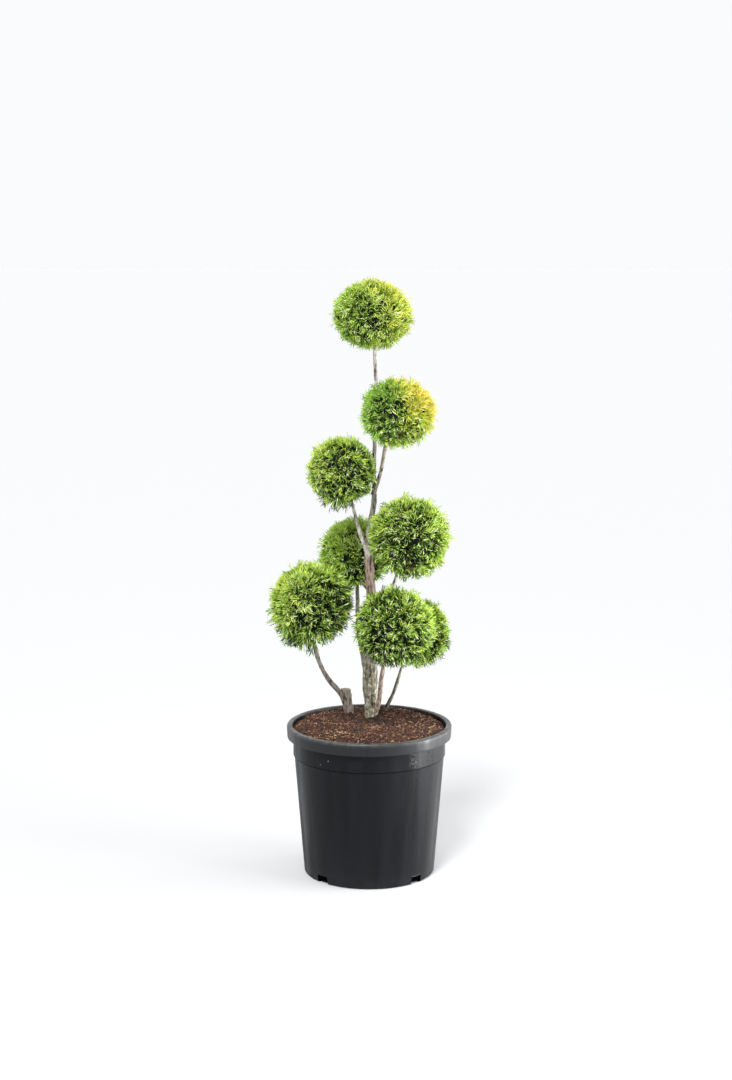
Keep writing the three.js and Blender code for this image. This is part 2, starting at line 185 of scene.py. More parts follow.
# How a ball grows. Ways are shares of the ball's reach from its heart, and angles are radians.
# Twigs and shoots are the source's: twigs evenly all round, each ending in a fan of leant shoots.
# Finer levels carry the rule on: each shoot ends in tip twigs, and each of those in a fan of flat sprays.
GROWTH = {
    "twigs": 12,
    "shoots_per_twig": 3,
    "twig_end": 0.7,
    "twig_radius": 1.7,
    "shoot_root": 0.5,
    "shoot_end": 0.72,
    "shoot_lean": 0.36,
    "shoot_radius": 1.1,
    "jitter": 0.1,
    "tips_at_75": 290,
    "tip_end": 0.84,
    "tip_radius": 0.7,
    "tip_jitter": 0.05,
    "sprays_per_tip": 9,
    "spray_lean": (0.02, 0.17),
    "slant_share": 0.06,
    "slant_lean": (0.2, 0.4),
    "spray_root": (0.02, 0.5),
    "outer_share": (0.3, 0.6),
    "outer_trim": (0.945, 1.0),
    "inner_trim": (0.84, 0.945),
    "stray_trim": (1.0, 1.1),
    "stray_share": 0.08,
    "stray_tint": -0.22,
    "hollow_depth": 0.06,
    "core": 0.74,
    "core_lump": 0.05,
    "clearance": 3,
    "gap": 0.3,
    "stem_lead": 12,
    "stem_taper": (0.98, 0.6),
}
# A flat spray: side branchlets leave its axis alternately, and the lowest has a lobe of its own. Bend and
# sway set how strongly it arches off its plane and aside, and what reaches past the trim is drawn in.
SPRAY = {
    "length": 34,
    "first": 5,
    "step": 4.6,
    "branchlets": 6,
    "angle": 0.38,
    "longest": 19,
    "half_width": 0.78,
    "splay": 9,
    "lobes": 1,
    "lobe_length": 9,
    "twist": 0.35,
    "bend": 13,
    "sway": 9,
    "cup": 0.05,
    "widen": (0.8, 1.12),
    "past_trim": 0.01,
    "drawn_in": 0.4,
    "axis_step": 0.31,
    "axis_part": 0.38,
    "kinds": 9,
}
# Loose tufts the shears missed: direction, spread, nearest and farthest end as shares of the reach, count
# and tint, lowered as painted shade for the tufts that hang under a ball. Their sprays are numbered from
# the first hung one on, with a step from tuft to tuft.
TUFTS = {
    "foliage_upper_left": [((-0.2, -0.2, -0.95), 0.5, 1.04, 1.3, 30, -0.6)],
    "foliage_middle_right": [((-0.95, -0.3, 0.2), 0.45, 0.97, 1.08, 70, 0.0)],
    "foliage_lower_left": [
        ((-0.25, -0.2, -0.95), 0.42, 1.06, 1.32, 30, -0.6),
        ((-0.66, -0.2, -0.7), 0.45, 1.02, 1.18, 26, -0.55),
    ],
    "foliage_lower_front": [((0.0, -0.4, -0.92), 0.65, 1.0, 1.12, 40, -0.55)],
    "foliage_lower_right": [((0.7, -0.3, -0.65), 0.5, 1.0, 1.15, 34, -0.5)],
}
TUFT_ROOT = 0.62
FIRST_HUNG = 9000
TUFT_STEP = 1000
# How golden the sprays of a ball may get, and the balls that differ.
GOLDEN_LIMIT = 0.98
GOLDEN_LIMITS = {
    "foliage_top": 1.2,
    "foliage_upper_right": 5,
    "foliage_middle_back": 0.78,
    "foliage_lower_right": 1.15,
}
# The two golden balls stay fresh green on their left: direction, and how golden the sprays there may get.
GREEN_SIDES = {"foliage_top": (-0.95, -0.3, -0.1, 0.62), "foliage_upper_right": (-0.95, -0.3, 0.0, 0.55)}
# Hollows where a ball's sprays end short and its dark inside shows: direction and half angle.
HOLLOWS = {
    "foliage_top": [(-0.12, -1, 0.1, 0.3)],
    "foliage_upper_right": [(-0.3, -0.9, -0.35, 0.3), (0.1, -0.75, -0.7, 0.2)],
    "foliage_upper_left": [(0.05, -0.86, 0.5, 0.3), (0.1, -0.95, -0.25, 0.25)],
    "foliage_middle_right": [(0.35, -0.9, 0.35, 0.25), (-0.1, -1, -0.1, 0.35), (0.4, -0.9, -0.25, 0.25)],
    "foliage_middle_back": [(0.35, -0.9, -0.25, 0.4)],
    "foliage_lower_left": [(0.1, -0.88, -0.45, 0.17), (0.55, -0.8, 0.2, 0.35), (-0.3, -0.85, -0.4, 0.25)],
    "foliage_lower_front": [(-0.35, -0.9, -0.2, 0.25), (0.15, -0.95, -0.3, 0.35), (0, -0.95, 0.3, 0.25)],
}

# Tints of each ball, from 0 deep green to 1 golden: a base, then sides where it is warmer or greener,
# each a direction and a strength. The sides are partly the plant's own golden and green and partly painted
# light and shade: tops and lit sides lighter, undersides and sides away from the light darker.
TINTS_AND_PAINTED_LIGHT = {
    "foliage_top": (
        0.66,
        (0.2, -0.2, 0.95, 0.32), (0.95, -0.3, 0, 0.26), (-0.95, -0.3, -0.1, -0.1), (0, -0.3, -0.95, -0.14),
    ),
    "foliage_upper_right": (0.57, (0.85, -0.35, 0.4, 0.7), (0.1, -0.2, 0.97, 0.2), (-0.95, -0.3, 0, -0.02)),
    "foliage_upper_left": (0.52, (-0.65, -0.3, 0.7, 0.16), (0.9, -0.4, -0.2, -0.2), (0, -0.3, -0.95, -0.14)),
    "foliage_middle_right": (0.36, (0.1, -0.2, 0.95, 0.2), (0.95, -0.3, 0, 0.14), (-0.8, -0.5, -0.2, -0.1)),
    "foliage_middle_back": (0.56, (-0.3, -0.35, 0.9, 0.5), (0.5, -0.8, -0.3, -0.24)),
    "foliage_lower_left": (0.48, (-0.4, -0.3, 0.86, 0.26), (0.8, -0.5, -0.3, -0.25), (0, -0.3, -0.95, -0.1)),
    "foliage_lower_front": (
        0.34,
        (0.97, -0.2, 0.1, 0.16), (0.1, -0.4, 0.9, 0.1), (-0.95, -0.2, -0.1, -0.1), (0.1, -0.4, -0.9, -0.25),
    ),
    "foliage_lower_right": (0.3, (0.3, -0.4, 0.85, 0.42), (0.6, -0.7, -0.4, 0.04)),
}
# Where a ball has a patch of dead brown sprays: direction and half angle.
DEAD_PATCHES = {
    "foliage_upper_right": (0.05, -0.83, -0.55, 0.1),
    "foliage_middle_right": (-0.02, -0.75, -0.66, 0.12),
    "foliage_upper_left": (-0.25, -0.95, -0.15, 0.07),
}
# How tints vary: by luck from spray to spray, and in broad patches. Of two values the first is for where a
# ball faces the front or back and the second for its rim: how much lighter and warmer it is painted, as
# painted light; how much its branchlets vary; how fast tints fall with depth below a level, as painted
# shade inside the ball; and the luck past which a branchlet shows a pale fleck, partly its paler underside
# and partly a painted highlight. Levels are shares of the reach.
TONE = {
    "luck": 0.42,
    "patch": 0.14,
    "warmer": (0.12, 0.02),
    "fleck": (1.2, 0.9),
    "fall": (6, 5.5),
    "level": 0.91,
    "pale": (0.8, 0.96),
    "pale_slanted": 0.7,
    "pale_level": 0.86,
    "pale_least": 0.1,
    "dead_share": 0.75,
}
# The tints at which a leaf's colour changes, and those dealt for a dead spray and for a pale fleck that is
# partly its paler underside and partly a painted highlight.
LEAF_STEPS = [-5, -0.12, 0.08, 0.22, 0.37, 0.56, 0.8, 1.02, 1.22, 5]
DEAD_TINT = -9
PALE_TINT = 9


def hex_linear(code):
    """A hex colour of sRGB as linear light: a short straight part near black, then a power of 2.4."""
    parts = [int(code[at : at + 2], 16) / 255 for at in (1, 3, 5)]
    return (*[part / 12.92 if part <= 0.04045 else ((part + 0.055) / 1.055) ** 2.4 for part in parts], 1.0)


def add_node(tree, kind, settings=None, links=None):
    """Adds a shader node: settings fill sockets or options by name, stops fill a ramp, links feed sockets.

    A link given as a node leaves it by its first output."""
    made = tree.nodes.new("ShaderNode" + kind)
    for name, value in (settings or {}).items():
        if name == "stops":
            ramp = made.color_ramp
            while len(ramp.elements) < len(value):
                ramp.elements.new(0.5)
            for element, (position, colour) in zip(ramp.elements, value):
                element.position = position
                element.color = hex_linear(colour)
        elif isinstance(name, int) or name in made.inputs:
            made.inputs[name].default_value = value
        else:
            setattr(made, name, value)
    for name, source in (links or {}).items():
        if isinstance(source, bpy.types.Node):
            source = source.outputs[0]
        tree.links.new(source, made.inputs[name])
    return made


def new_material(name, settings):
    """A node material, its tree, its shader with plain values on its sockets, and the Object coordinates."""
    made = bpy.data.materials.new(name)
    made.use_nodes = True
    tree = made.node_tree
    tree.nodes.clear()
    shader = add_node(tree, "BsdfPrincipled", settings)
    add_node(tree, "OutputMaterial", links={"Surface": shader})
    place = add_node(tree, "TexCoord").outputs["Object"]
    return made, tree, shader, place


def plain_material(name, colour, roughness, specular=0.5):
    """A material of one plain colour."""
    settings = {"Base Color": hex_linear(colour), "Roughness": roughness, "Specular IOR Level": specular}
    return new_material(name, settings)[0]


def share(number, salt):
    """A repeatable random share between 0 and 1: the fraction left over from a steep wave of both numbers."""
    wave = np.sin(np.asarray(number) * SCATTER["number"] + salt * SCATTER["salt"]) * SCATTER["height"]
    return wave - np.floor(wave)


def between(low, high, part):
    """A value part of the way from low to high."""
    return low + (high - low) * part


def bell(way):
    """The bell curve: one at nothing and falling to nothing with the square of the way."""
    return np.exp(-(way**2))


def rough(across, along, salt, wrap=0):
    """Random heights from -1 to 1 on the corners of a grid of whole numbers, joined by smooth steps.

    Across wraps round after a whole number of cells where one is given."""
    low_across, low_along = np.floor(across), np.floor(along)
    part_across, part_along = across - low_across, along - low_along
    part_across = part_across * part_across * (3 - 2 * part_across)
    part_along = part_along * part_along * (3 - 2 * part_along)

    def corner(right, up):
        column = np.mod(low_across + right, wrap) if wrap else low_across + right
        return share(column + 57.31 * (low_along + up), salt)

    near = between(corner(0, 0), corner(1, 0), part_across)
    far = between(corner(0, 1), corner(1, 1), part_across)
    return 2 * between(near, far, part_along) - 1


def unit(vectors):
    """Vectors at length one."""
    return vectors / np.linalg.norm(vectors, axis=-1, keepdims=True)


def put_object(name, data):
    """A new object of the scene that holds the data."""
    made = bpy.data.objects.new(name, data)
    bpy.context.scene.collection.objects.link(made)
    return made


def put_mesh(name, points, faces, materials, dealt=None, smooth=True):
    """A mesh object in its place, from points in millimetres and faces as arrays of corner numbers."""
    corners = np.concatenate([part.ravel() for part in faces]).astype(np.int32)
    sizes = np.concatenate([np.full(len(part), part.shape[1]) for part in faces])
    mesh = bpy.data.meshes.new(name)
    mesh.vertices.add(len(points))
    mesh.vertices.foreach_set("co", (points * MM).astype(np.float32).ravel())
    mesh.loops.add(len(corners))
    mesh.loops.foreach_set("vertex_index", corners)
    mesh.polygons.add(len(sizes))
    mesh.polygons.foreach_set("loop_start", np.concatenate([[0], np.cumsum(sizes)[:-1]]).astype(np.int32))
    for material in materials:
        mesh.materials.append(material)
    if dealt is not None:
        mesh.polygons.foreach_set("material_index", dealt.astype(np.int32))
    mesh.polygons.foreach_set("use_smooth", np.full(len(sizes), smooth))
    mesh.update(calc_edges=True)
    mesh.validate()
    return put_object(name, mesh)


def stand_for(piece, slot, *nodes):
    """The piece rides on the one body and stands for the named nodes, which are hidden. The slot is not used.
    """
    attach(piece, "root")
    if nodes:
        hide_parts(*nodes)


def tube_faces(rows, columns):
    """Faces of a tube: four-cornered between neighbouring rings, and three-cornered to a pole at each end.

    The two poles are the last two points."""
    row, column = np.meshgrid(np.arange(rows - 1) * columns, np.arange(columns), indexing="ij")
    after = (column + 1) % columns
    sides = np.stack([row + column, row + after, row + columns + after, row + columns + column], -1)
    turn = np.arange(columns)
    following = (turn + 1) % columns
    top = (rows - 1) * columns
    foot_pole = np.full(columns, rows * columns)
    foot = np.stack([foot_pole, following, turn], -1)
    tip = np.stack([top + turn, top + following, foot_pole + 1], -1)
    return [sides.reshape(-1, 4), foot, tip]


# Straight pieces that stand for the curve between two stations before it is stepped evenly.
CURVE_PIECES = 60


def curve_points(stations, steps):
    """Even steps along the centripetal Catmull-Rom curve through the stations.

    Between two stations the point is a cubic of its share of the way. The slopes at its ends come from the
    stations on both sides, weighed by the square roots of the distances between them."""
    knots = np.array([station[:3] for station in stations], float)
    knots = np.vstack([2 * knots[0] - knots[1], knots, 2 * knots[-1] - knots[-2]])
    gaps = np.sqrt(np.linalg.norm(np.diff(knots, axis=0), axis=1))[:, None]
    back, here, ahead = gaps[:-2], gaps[1:-1], gaps[2:]
    before, start, end, after = knots[:-3], knots[1:-2], knots[2:-1], knots[3:]
    leave = ((start - before) / back - (end - before) / (back + here) + (end - start) / here) * here
    arrive = ((end - start) / here - (after - start) / (here + ahead) + (after - end) / ahead) * here
    way = np.linspace(0, 1, CURVE_PIECES, endpoint=False)[:, None, None]
    path = start + leave * way
    path = path + (3 * (end - start) - 2 * leave - arrive) * way**2
    path = path + (2 * (start - end) + leave + arrive) * way**3
    path = np.vstack([path.transpose(1, 0, 2).reshape(-1, 3), knots[-2]])
    lengths = np.concatenate([[0], np.cumsum(np.linalg.norm(np.diff(path, axis=0), axis=1))])
    marks = np.linspace(0, lengths[-1], steps)
    return np.stack([np.interp(marks, lengths, path[:, axis]) for axis in range(3)], -1), marks


def girth_at(stations, heights):
    """A limb's radius at heights, straight between its stations."""
    return np.interp(heights, [station[2] for station in stations], [station[3] for station in stations])


def rings(path, radii, turns):
    """Rings square to a path: the path's point plus its radius times cosine and sine along two side axes."""
    along = unit(np.gradient(path, axis=0))
    side = unit(np.array([1.0, 0, 0]) - along[:, :1] * along)
    other = np.cross(along, side)
    return (
        path[:, None]
        + (radii * np.cos(turns))[..., None] * side[:, None]
        + (radii * np.sin(turns))[..., None] * other[:, None]
    )


# Bark's ridges, flakes and lumps: how long each is along the limb, and how far it stands out.
RELIEF = {"ridge": (17, 0.55), "flake": (5.5, 0.4), "lump": (26, 1.2)}
# How steeply a knot's hump and its dimple fall off, and the dimple's share of the hump.
KNOT_SHAPE = (1.7, 4.5, 0.75)
# How far a bough's collar reaches along it.
COLLAR_REACH = 11


def bark_relief(turn, way, height, girth, knots, salt):
    """How far bark stands out of a limb, in millimetres.

    Long ridges round the limb, short flakes, and slow lumps, each from random heights; then every knot adds a
    round hump that falls off as the bell curve of its distance, with a dimple in its middle."""
    coarse = np.clip(girth / 9, 0.3, 1.25)
    strips = max(7, int(girth.max() * 2.2))
    (ridge, ridge_lift), (flake, flake_lift), (lump, lump_lift) = RELIEF.values()
    ridges = 1 - 2 * np.abs(rough(turn * strips, way / ridge, salt, strips))
    flakes = rough(turn * strips * 2, way / flake, salt + 1, strips * 2)
    lumps = rough(turn * 4, way / lump, salt + 2, 4)
    hump, dimple, dent = KNOT_SHAPE
    relief = coarse * (ridge_lift * ridges + flake_lift * flakes + lump_lift * lumps)
    for knot_height, knot_turn, reach, lift in knots:
        around = (np.mod(turn - knot_turn + 0.5, 1) - 0.5) * FULL_TURN * girth
        distance = np.hypot(around, height - knot_height) / reach
        relief = relief + lift * (bell(distance * hump) - dent * bell(distance * dimple))
    return relief


def bark_tube(stations, knots, salt, around, steps, collar=0.0):
    """A limb with its bark: rings along its curve, each as wide as its girth plus the bark's relief.

    A collar widens the foot of a bough where it leaves its bearer."""
    path, way = curve_points(stations, steps)
    turn = np.arange(around) / around
    girth = girth_at(stations, path[:, 2])[:, None]
    swell = 1 + collar * bell(way / COLLAR_REACH)[:, None]
    relief = bark_relief(turn[None], way[:, None], path[:, 2:3], girth, knots, salt)
    points = rings(path, girth * swell + relief, turn[None] * FULL_TURN)
    return points, path


def close_tube(points, path):
    """A grid of rings as one closed tube's points and faces, with a pole at each end of its path."""
    rows, columns = points.shape[:2]
    return np.vstack([points.reshape(-1, 3), path[0], path[-1]]), tube_faces(rows, columns)


def join(parts):
    """Several sets of points and faces as one, each set's corner numbers moved past the points before it."""
    points, faces, start = [], [], 0
    for part_points, part_faces in parts:
        points.append(part_points)
        faces.extend(face + start for face in part_faces)
        start += len(part_points)
    return np.vstack(points), faces


def revolve(profile, columns, change=None):
    """A profile of radius and height turned round the upright axis, with a pole where it meets the axis.

    Change may move the grid of radii and heights for each angle before they are turned."""
    angles = np.arange(columns) * FULL_TURN / columns
    radius = np.repeat(np.array(profile)[:, :1], columns, axis=1)
    height = np.repeat(np.array(profile)[:, 1:], columns, axis=1)
    if change:
        radius, height, angles = change(radius, height, angles)
    grid = np.stack([radius * np.cos(angles), radius * np.sin(angles), height], -1)
    poles = [[0, 0, height[0].mean()], [0, 0, height[-1].mean()]]
    return np.vstack([grid.reshape(-1, 3), poles]), tube_faces(*radius.shape)


def arc(centre_radius, centre_height, radius, start, end, steps):
    """A round corner of a profile: the centre plus the radius times cosine and sine of even angles."""
    angles = np.linspace(start, end, steps)
    return [(centre_radius + radius * math.cos(a), centre_height + radius * math.sin(a)) for a in angles]


def straight(start, end, steps):
    """Even points of a profile between two points, without its ends."""
    shares = np.linspace(0, 1, steps + 2)[1:-1]
    return [(between(start[0], end[0], s), between(start[1], end[1], s)) for s in shares]


def pot_profile():
    """The pot's outside from the axis up to its lip, then its inside down to the axis: radius and height."""
    base, foot_round, wall, height = POT["base_radius"], POT["foot_round"], POT["wall"], POT["height"]
    collar, groove, rim, rim_round = POT["collar_radius"], POT["groove"], POT["rim_radius"], POT["rim_round"]
    foot = base - foot_round
    collar_top = height - POT["rim_band"]
    collar_foot = collar_top - POT["collar_height"]
    body_top = collar - POT["collar_step"]
    rim_foot = rim - POT["rim_draft"]
    inner_lip = rim - POT["rim_width"]
    return [
        (60, 0),
        (100, 0),
        *straight((100, 0), (foot, 0), NOTCH["points"]),
        *arc(foot, foot_round, foot_round, -QUARTER_TURN, 0, 10),
        *straight((base, foot_round), (body_top, collar_foot), 60)[:-1],
        (body_top, collar_foot - groove - 0.2),
        (body_top - groove, collar_foot - groove),
        (body_top - groove, collar_foot),
        (collar - 0.3, collar_foot),
        (collar, collar_foot + 0.3),
        *straight((collar, collar_foot + 0.3), (collar, collar_top), 8),
        (collar, collar_top),
        (rim_foot - 0.9, collar_top),
        (rim_foot - 0.2, collar_top + 0.2),
        (rim_foot, collar_top + 1),
        *straight((rim_foot, collar_top + 1), (rim, 278), 6),
        *arc(rim - rim_round, height - rim_round, rim_round, 0, QUARTER_TURN, 8),
        (inner_lip + 3.5, height - 0.1),
        *arc(inner_lip + 2, height - 2.4, 2.2, QUARTER_TURN, math.pi, 5),
        *straight((inner_lip - 0.2, height - 3), (collar - wall, collar_top), 6),
        (collar - wall, collar_top),
        (body_top - wall, collar_foot),
        (base - wall + 0.3, 22),
        (base - wall, foot_round),
        (foot, wall),
        (60, wall),
    ]


def notch_path(inner, top, outer, count):
    """Points up the back of a drain notch and out along its roof: radius and height."""
    corner = np.array([[inner, 0.0], [inner, top], [outer, top]])
    lengths = np.array([0, top, top + outer - inner])
    marks = np.linspace(0, lengths[-1], count)
    return np.interp(marks, lengths, corner[:, 0]), np.interp(marks, lengths, corner[:, 1])


def out_of_round(angles):
    """How far the pot's wall is warped out of its circle: a slight sine of twice the angle."""
    return POT["warp"] * np.sin(2 * angles + POT["warp_turn"])


def shape_pot(radius, height, angles):
    """Warps the pot out of round, more towards its rim, and cuts the drain notches.

    In a notch's columns the points of the foot that the notch takes away are laid along its back and roof."""
    outside = np.arange(len(radius)) < np.argmax(radius[:, 0])
    radius = radius + out_of_round(angles) * np.clip(height / POT["warp_height"], 0, 1)
    inner = POT["base_radius"] - NOTCH["depth"]
    roof = POT["base_radius"] + NOTCH_PAST
    half = NOTCH["width"] / 2 / POT["base_radius"]
    for number in range(NOTCH["count"]):
        middle = NOTCH["first_angle"] + number * FULL_TURN / NOTCH["count"]
        away = np.abs(np.mod(angles - middle + math.pi, FULL_TURN) - math.pi)
        columns = np.flatnonzero(away <= half)
        edge_low, edge_high = columns[0] - 1, columns[-1] + 1
        angles[edge_low] = angles[columns[0]] - NOTCH_EDGE
        angles[edge_high] = angles[columns[-1]] + NOTCH_EDGE
        low = height[:, columns[0]] < NOTCH["height"]
        taken = np.flatnonzero((radius[:, columns[0]] > inner) & low & outside)
        path_radius, path_height = notch_path(inner, NOTCH["height"], roof, len(taken))
        radius[np.ix_(taken, columns)] = path_radius[:, None]
        height[np.ix_(taken, columns)] = path_height[:, None]
    return radius, height, angles


def soil_height(x, y):
    """The peat's height at a place: level near the axis, rounded down to the wall by a cosine, with lumps.

    Against each stem it rises by a bank that falls off as the bell curve of the way from the stem's skin."""
    radius = np.hypot(x, y)
    slope = np.clip((radius - SOIL["level_radius"]) / (SOIL["edge_radius"] - SOIL["level_radius"]), 0, 1)
    level = GROUND - SOIL["edge_drop"] * (1 - np.cos(slope * QUARTER_TURN))
    for order, (wide, high, start) in enumerate(SOIL_LUMPS):
        level = level + high * rough(x / wide + start, y / wide + start, 31 + order)
    bank = np.zeros_like(level)
    for stem_x, stem_y, stem_radius, rise in BANKS:
        away = np.clip(np.hypot(x - stem_x, y - stem_y) - stem_radius, 0, None)
        bank = np.maximum(bank, rise * bell(away / BANK_REACH))
    uneven = 0.7 + 1.1 * rough(x / 7 + 50, y / 7 + 50, 34)
    return level - 0.9 + bank * uneven


def soil_grid(radius, height, angles):
    """Lays the top rows of the peat's grid on its height at each place."""
    top = np.arange(len(radius)) >= 3
    lie = soil_height(radius * np.cos(angles), radius * np.sin(angles))
    height = np.where(top[:, None], lie, height)
    return radius, height, angles


def soil_bits(count, salt, half_length, half_width, half_height, tilt):
    """Loose bits on the peat, each a stretched eight-sided crystal turned and tipped at random.

    Its six corners lie half a size from its middle, both ways along three axes. One in fourteen lies
    against a stem."""
    number = np.arange(count)
    radius = (SOIL["edge_radius"] - 3.5) * np.sqrt(share(number, salt))
    angle = share(number, salt + 1) * FULL_TURN
    x, y = radius * np.cos(angle), radius * np.sin(angle)
    banks = np.array(BANKS)[number % len(BANKS)]
    against = number % 14 == 3
    near = banks[:, 2] + 0.5 + 5 * share(number, salt + 12)
    x = np.where(against, banks[:, 0] + near * np.cos(angle), x)
    y = np.where(against, banks[:, 1] + near * np.sin(angle), y)
    turn = share(number, salt + 2) * FULL_TURN
    lean = (share(number, salt + 3) - 0.5) * 2 * tilt
    size = 0.55 + 0.9 * share(number, salt + 4) ** 2
    along = np.stack([np.cos(turn) * np.cos(lean), np.sin(turn) * np.cos(lean), np.sin(lean)], -1)
    side = np.stack([-np.sin(turn), np.cos(turn), 0.5 * (share(number, salt + 5) - 0.5)], -1)
    side = unit(side - (side * along).sum(-1, keepdims=True) * along)
    up = np.cross(along, side)
    middle = np.stack([x, y, soil_height(x, y) + half_height * size * 0.6], -1)
    axes = [(along, half_length), (side, half_width), (up, half_height)]
    corners = []
    for order, (axis, half) in enumerate(axes):
        stretch = (size * half * between(0.7, 1.3, share(number, salt + 6 + order)))[:, None] * axis
        corners += [middle + stretch, middle - stretch]
    points = np.stack(corners, 1)
    upper = [[0, 2, 4], [2, 1, 4], [1, 3, 4], [3, 0, 4]]
    lower = [[2, 0, 5], [1, 2, 5], [3, 1, 5], [0, 3, 5]]
    crystal = np.array(upper + lower)
    faces = (np.arange(count) * 6)[:, None, None] + crystal
    return points.reshape(-1, 3), faces.reshape(-1, 3), np.stack([x, y], -1)


def reach_of(ball, directions):
    """How far a ball reaches from its centre: the radius of its upper or lower half ellipsoid."""
    _, across, rise, drop, _ = ball
    half = np.where(directions[..., 2] > 0, rise, drop)
    flat = (directions[..., 0] ** 2 + directions[..., 1] ** 2) / across**2
    return 1 / np.sqrt(flat + directions[..., 2] ** 2 / half**2)


def place_in(ball, directions, part):
    """Points set off from a ball's centre by a part of its reach in each direction."""
    return np.array(ball[0], float) + directions * (reach_of(ball, directions) * part)[..., None]


def even_directions(count, salt, jitter):
    """Directions even over a sphere: even heights, each turned on by the golden angle and moved a little."""
    index = np.arange(count)
    height = 1 - (2 * index + 1) / count
    flat = np.sqrt(1 - height * height)
    turn = index * GOLDEN_ANGLE + salt
    directions = np.stack([flat * np.cos(turn), flat * np.sin(turn), height], -1)
    moves = np.stack([share(index, salt + axis) - 0.5 for axis in range(3)], -1)
    return unit(directions + moves * 2 * jitter)


def leant(directions, angle, turn):
    """Directions leant away by an angle, about a level axis that is first turned round each direction."""
    aside = np.cross(UP, directions)
    aside = np.where((aside**2).sum(-1, keepdims=True) < 1e-6, [1.0, 0.0, 0.0], aside)
    aside = unit(aside)
    turn, angle = np.asarray(turn)[..., None], np.asarray(angle)[..., None]
    axis = aside * np.cos(turn) + np.cross(directions, aside) * np.sin(turn)
    return directions * np.cos(angle) + np.cross(axis, directions) * np.sin(angle)


# A branchlet's corners as shares of its length, half width and twist: its base, its widest place and its tip.
BRANCHLET = np.array([(0, -0.5, -1), (0, 0.5, 1), (0.55, -1, 0.7), (0.55, 1, -0.7), (1, 0, 0)], float)
# Two faces make its base and one its tip.
BRANCHLET_FACES = np.array([[0, 1, 3], [0, 3, 2], [2, 3, 4]])
BASE_OR_TIP = np.array([0, 0, 1])
TIP_CORNER = 4


def branchlet(base, heading, length, half_width, tip_lift):
    """A scale-leaved branchlet: a slightly twisted pointed blade from its base along its heading.

    Its lift off the spray's plane grows as the square of the way along it."""
    way = BRANCHLET[:, 0] * length
    side = BRANCHLET[:, 1] * half_width
    lift = tip_lift * BRANCHLET[:, 0] ** 2 + SPRAY["twist"] * BRANCHLET[:, 2]
    along = base[0] + way * math.cos(heading) - side * math.sin(heading)
    across = base[1] + way * math.sin(heading) + side * math.cos(heading)
    return np.stack([along, across, lift], -1)


def spray_pattern(salt):
    """One flat spray's branchlets: corners as way along, offset across and lift, in millimetres.

    Branchlets leave the axis alternately at a slant, and their lengths rise and fall as half a sine wave.
    The lowest carries a lobe of its own."""
    parts = []
    steps = SPRAY["branchlets"]
    for part in range(3):
        start = part * SPRAY["length"] * SPRAY["axis_step"]
        sway = (share(part, salt) - 0.5) * 0.16
        length = SPRAY["length"] * SPRAY["axis_part"]
        parts.append(branchlet((start, 0), sway, length, SPRAY["half_width"] * 0.9, 0))
    for step in range(steps):
        side = 1 if step % 2 else -1
        way = SPRAY["first"] + SPRAY["step"] * (step + 0.6 * (share(step, salt + 1) - 0.5))
        rise = math.sin(math.pi * between(0.25, 0.93, step / (steps - 1)))
        length = SPRAY["longest"] * between(0.35, 1, rise) * between(0.75, 1.15, share(step, salt + 2))
        angle = side * SPRAY["angle"] * between(0.75, 1.25, share(step, salt + 3))
        width = SPRAY["half_width"] * between(0.85, 1.15, share(step, salt + 4))
        lift = (share(step, salt + 5) - 0.5) * SPRAY["splay"]
        parts.append(branchlet((way, 0), angle, length, width, lift))
        if step >= SPRAY["lobes"]:
            continue
        spot = length * between(0.3, 0.5, share(step, salt + 6))
        base = (way + math.cos(angle) * spot, math.sin(angle) * spot)
        lobe_angle = angle - side * between(0.45, 0.7, share(step, salt + 7))
        lobe_length = SPRAY["lobe_length"] * between(0.75, 1.2, share(step, salt + 8))
        small = branchlet(base, lobe_angle, lobe_length, width * 0.85, (share(step, salt + 9) - 0.5) * 2)
        small[:, 2] += lift * 0.2
        parts.append(small)
    return np.array(parts)


def rods(starts, ends, start_radius, end_radius, sides):
    """Tapering rods: two rings square to each rod's line, joined by side faces and closed by end faces."""
    along = unit(ends - starts)
    helper = np.where(np.abs(along[:, 2:]) < 0.9, UP, [1.0, 0.0, 0.0])
    side = unit(np.cross(along, helper))
    other = np.cross(along, side)
    turns = np.arange(sides) * FULL_TURN / sides
    round_it = side[:, None] * np.cos(turns)[:, None] + other[:, None] * np.sin(turns)[:, None]
    low = starts[:, None] + round_it * start_radius
    high = ends[:, None] + round_it * end_radius
    points = np.concatenate([low, high], 1)
    turn = np.arange(sides)
    after = (turn + 1) % sides
    shell = np.stack([turn, after, after + sides, turn + sides], -1)
    shift = (np.arange(len(starts)) * 2 * sides)[:, None, None]
    caps = np.stack([turn[::-1], turn + sides])
    return points.reshape(-1, 3), [(shift + shell).reshape(-1, 4), (shift + caps).reshape(-1, sides)]


def limb_points():
    """Close points along every limb with their radii, to keep the foliage off them."""
    places, radii = [], []
    for stations in [TRUNK, *BOUGHS.values(), LEFT_STEM, RIGHT_STEM]:
        path, _ = curve_points(stations, 151)
        places.append(path)
        radii.append(girth_at(stations, path[:, 2]))
    return np.vstack(places), np.concatenate(radii)


LIMB_PLACES, LIMB_RADII = limb_points()


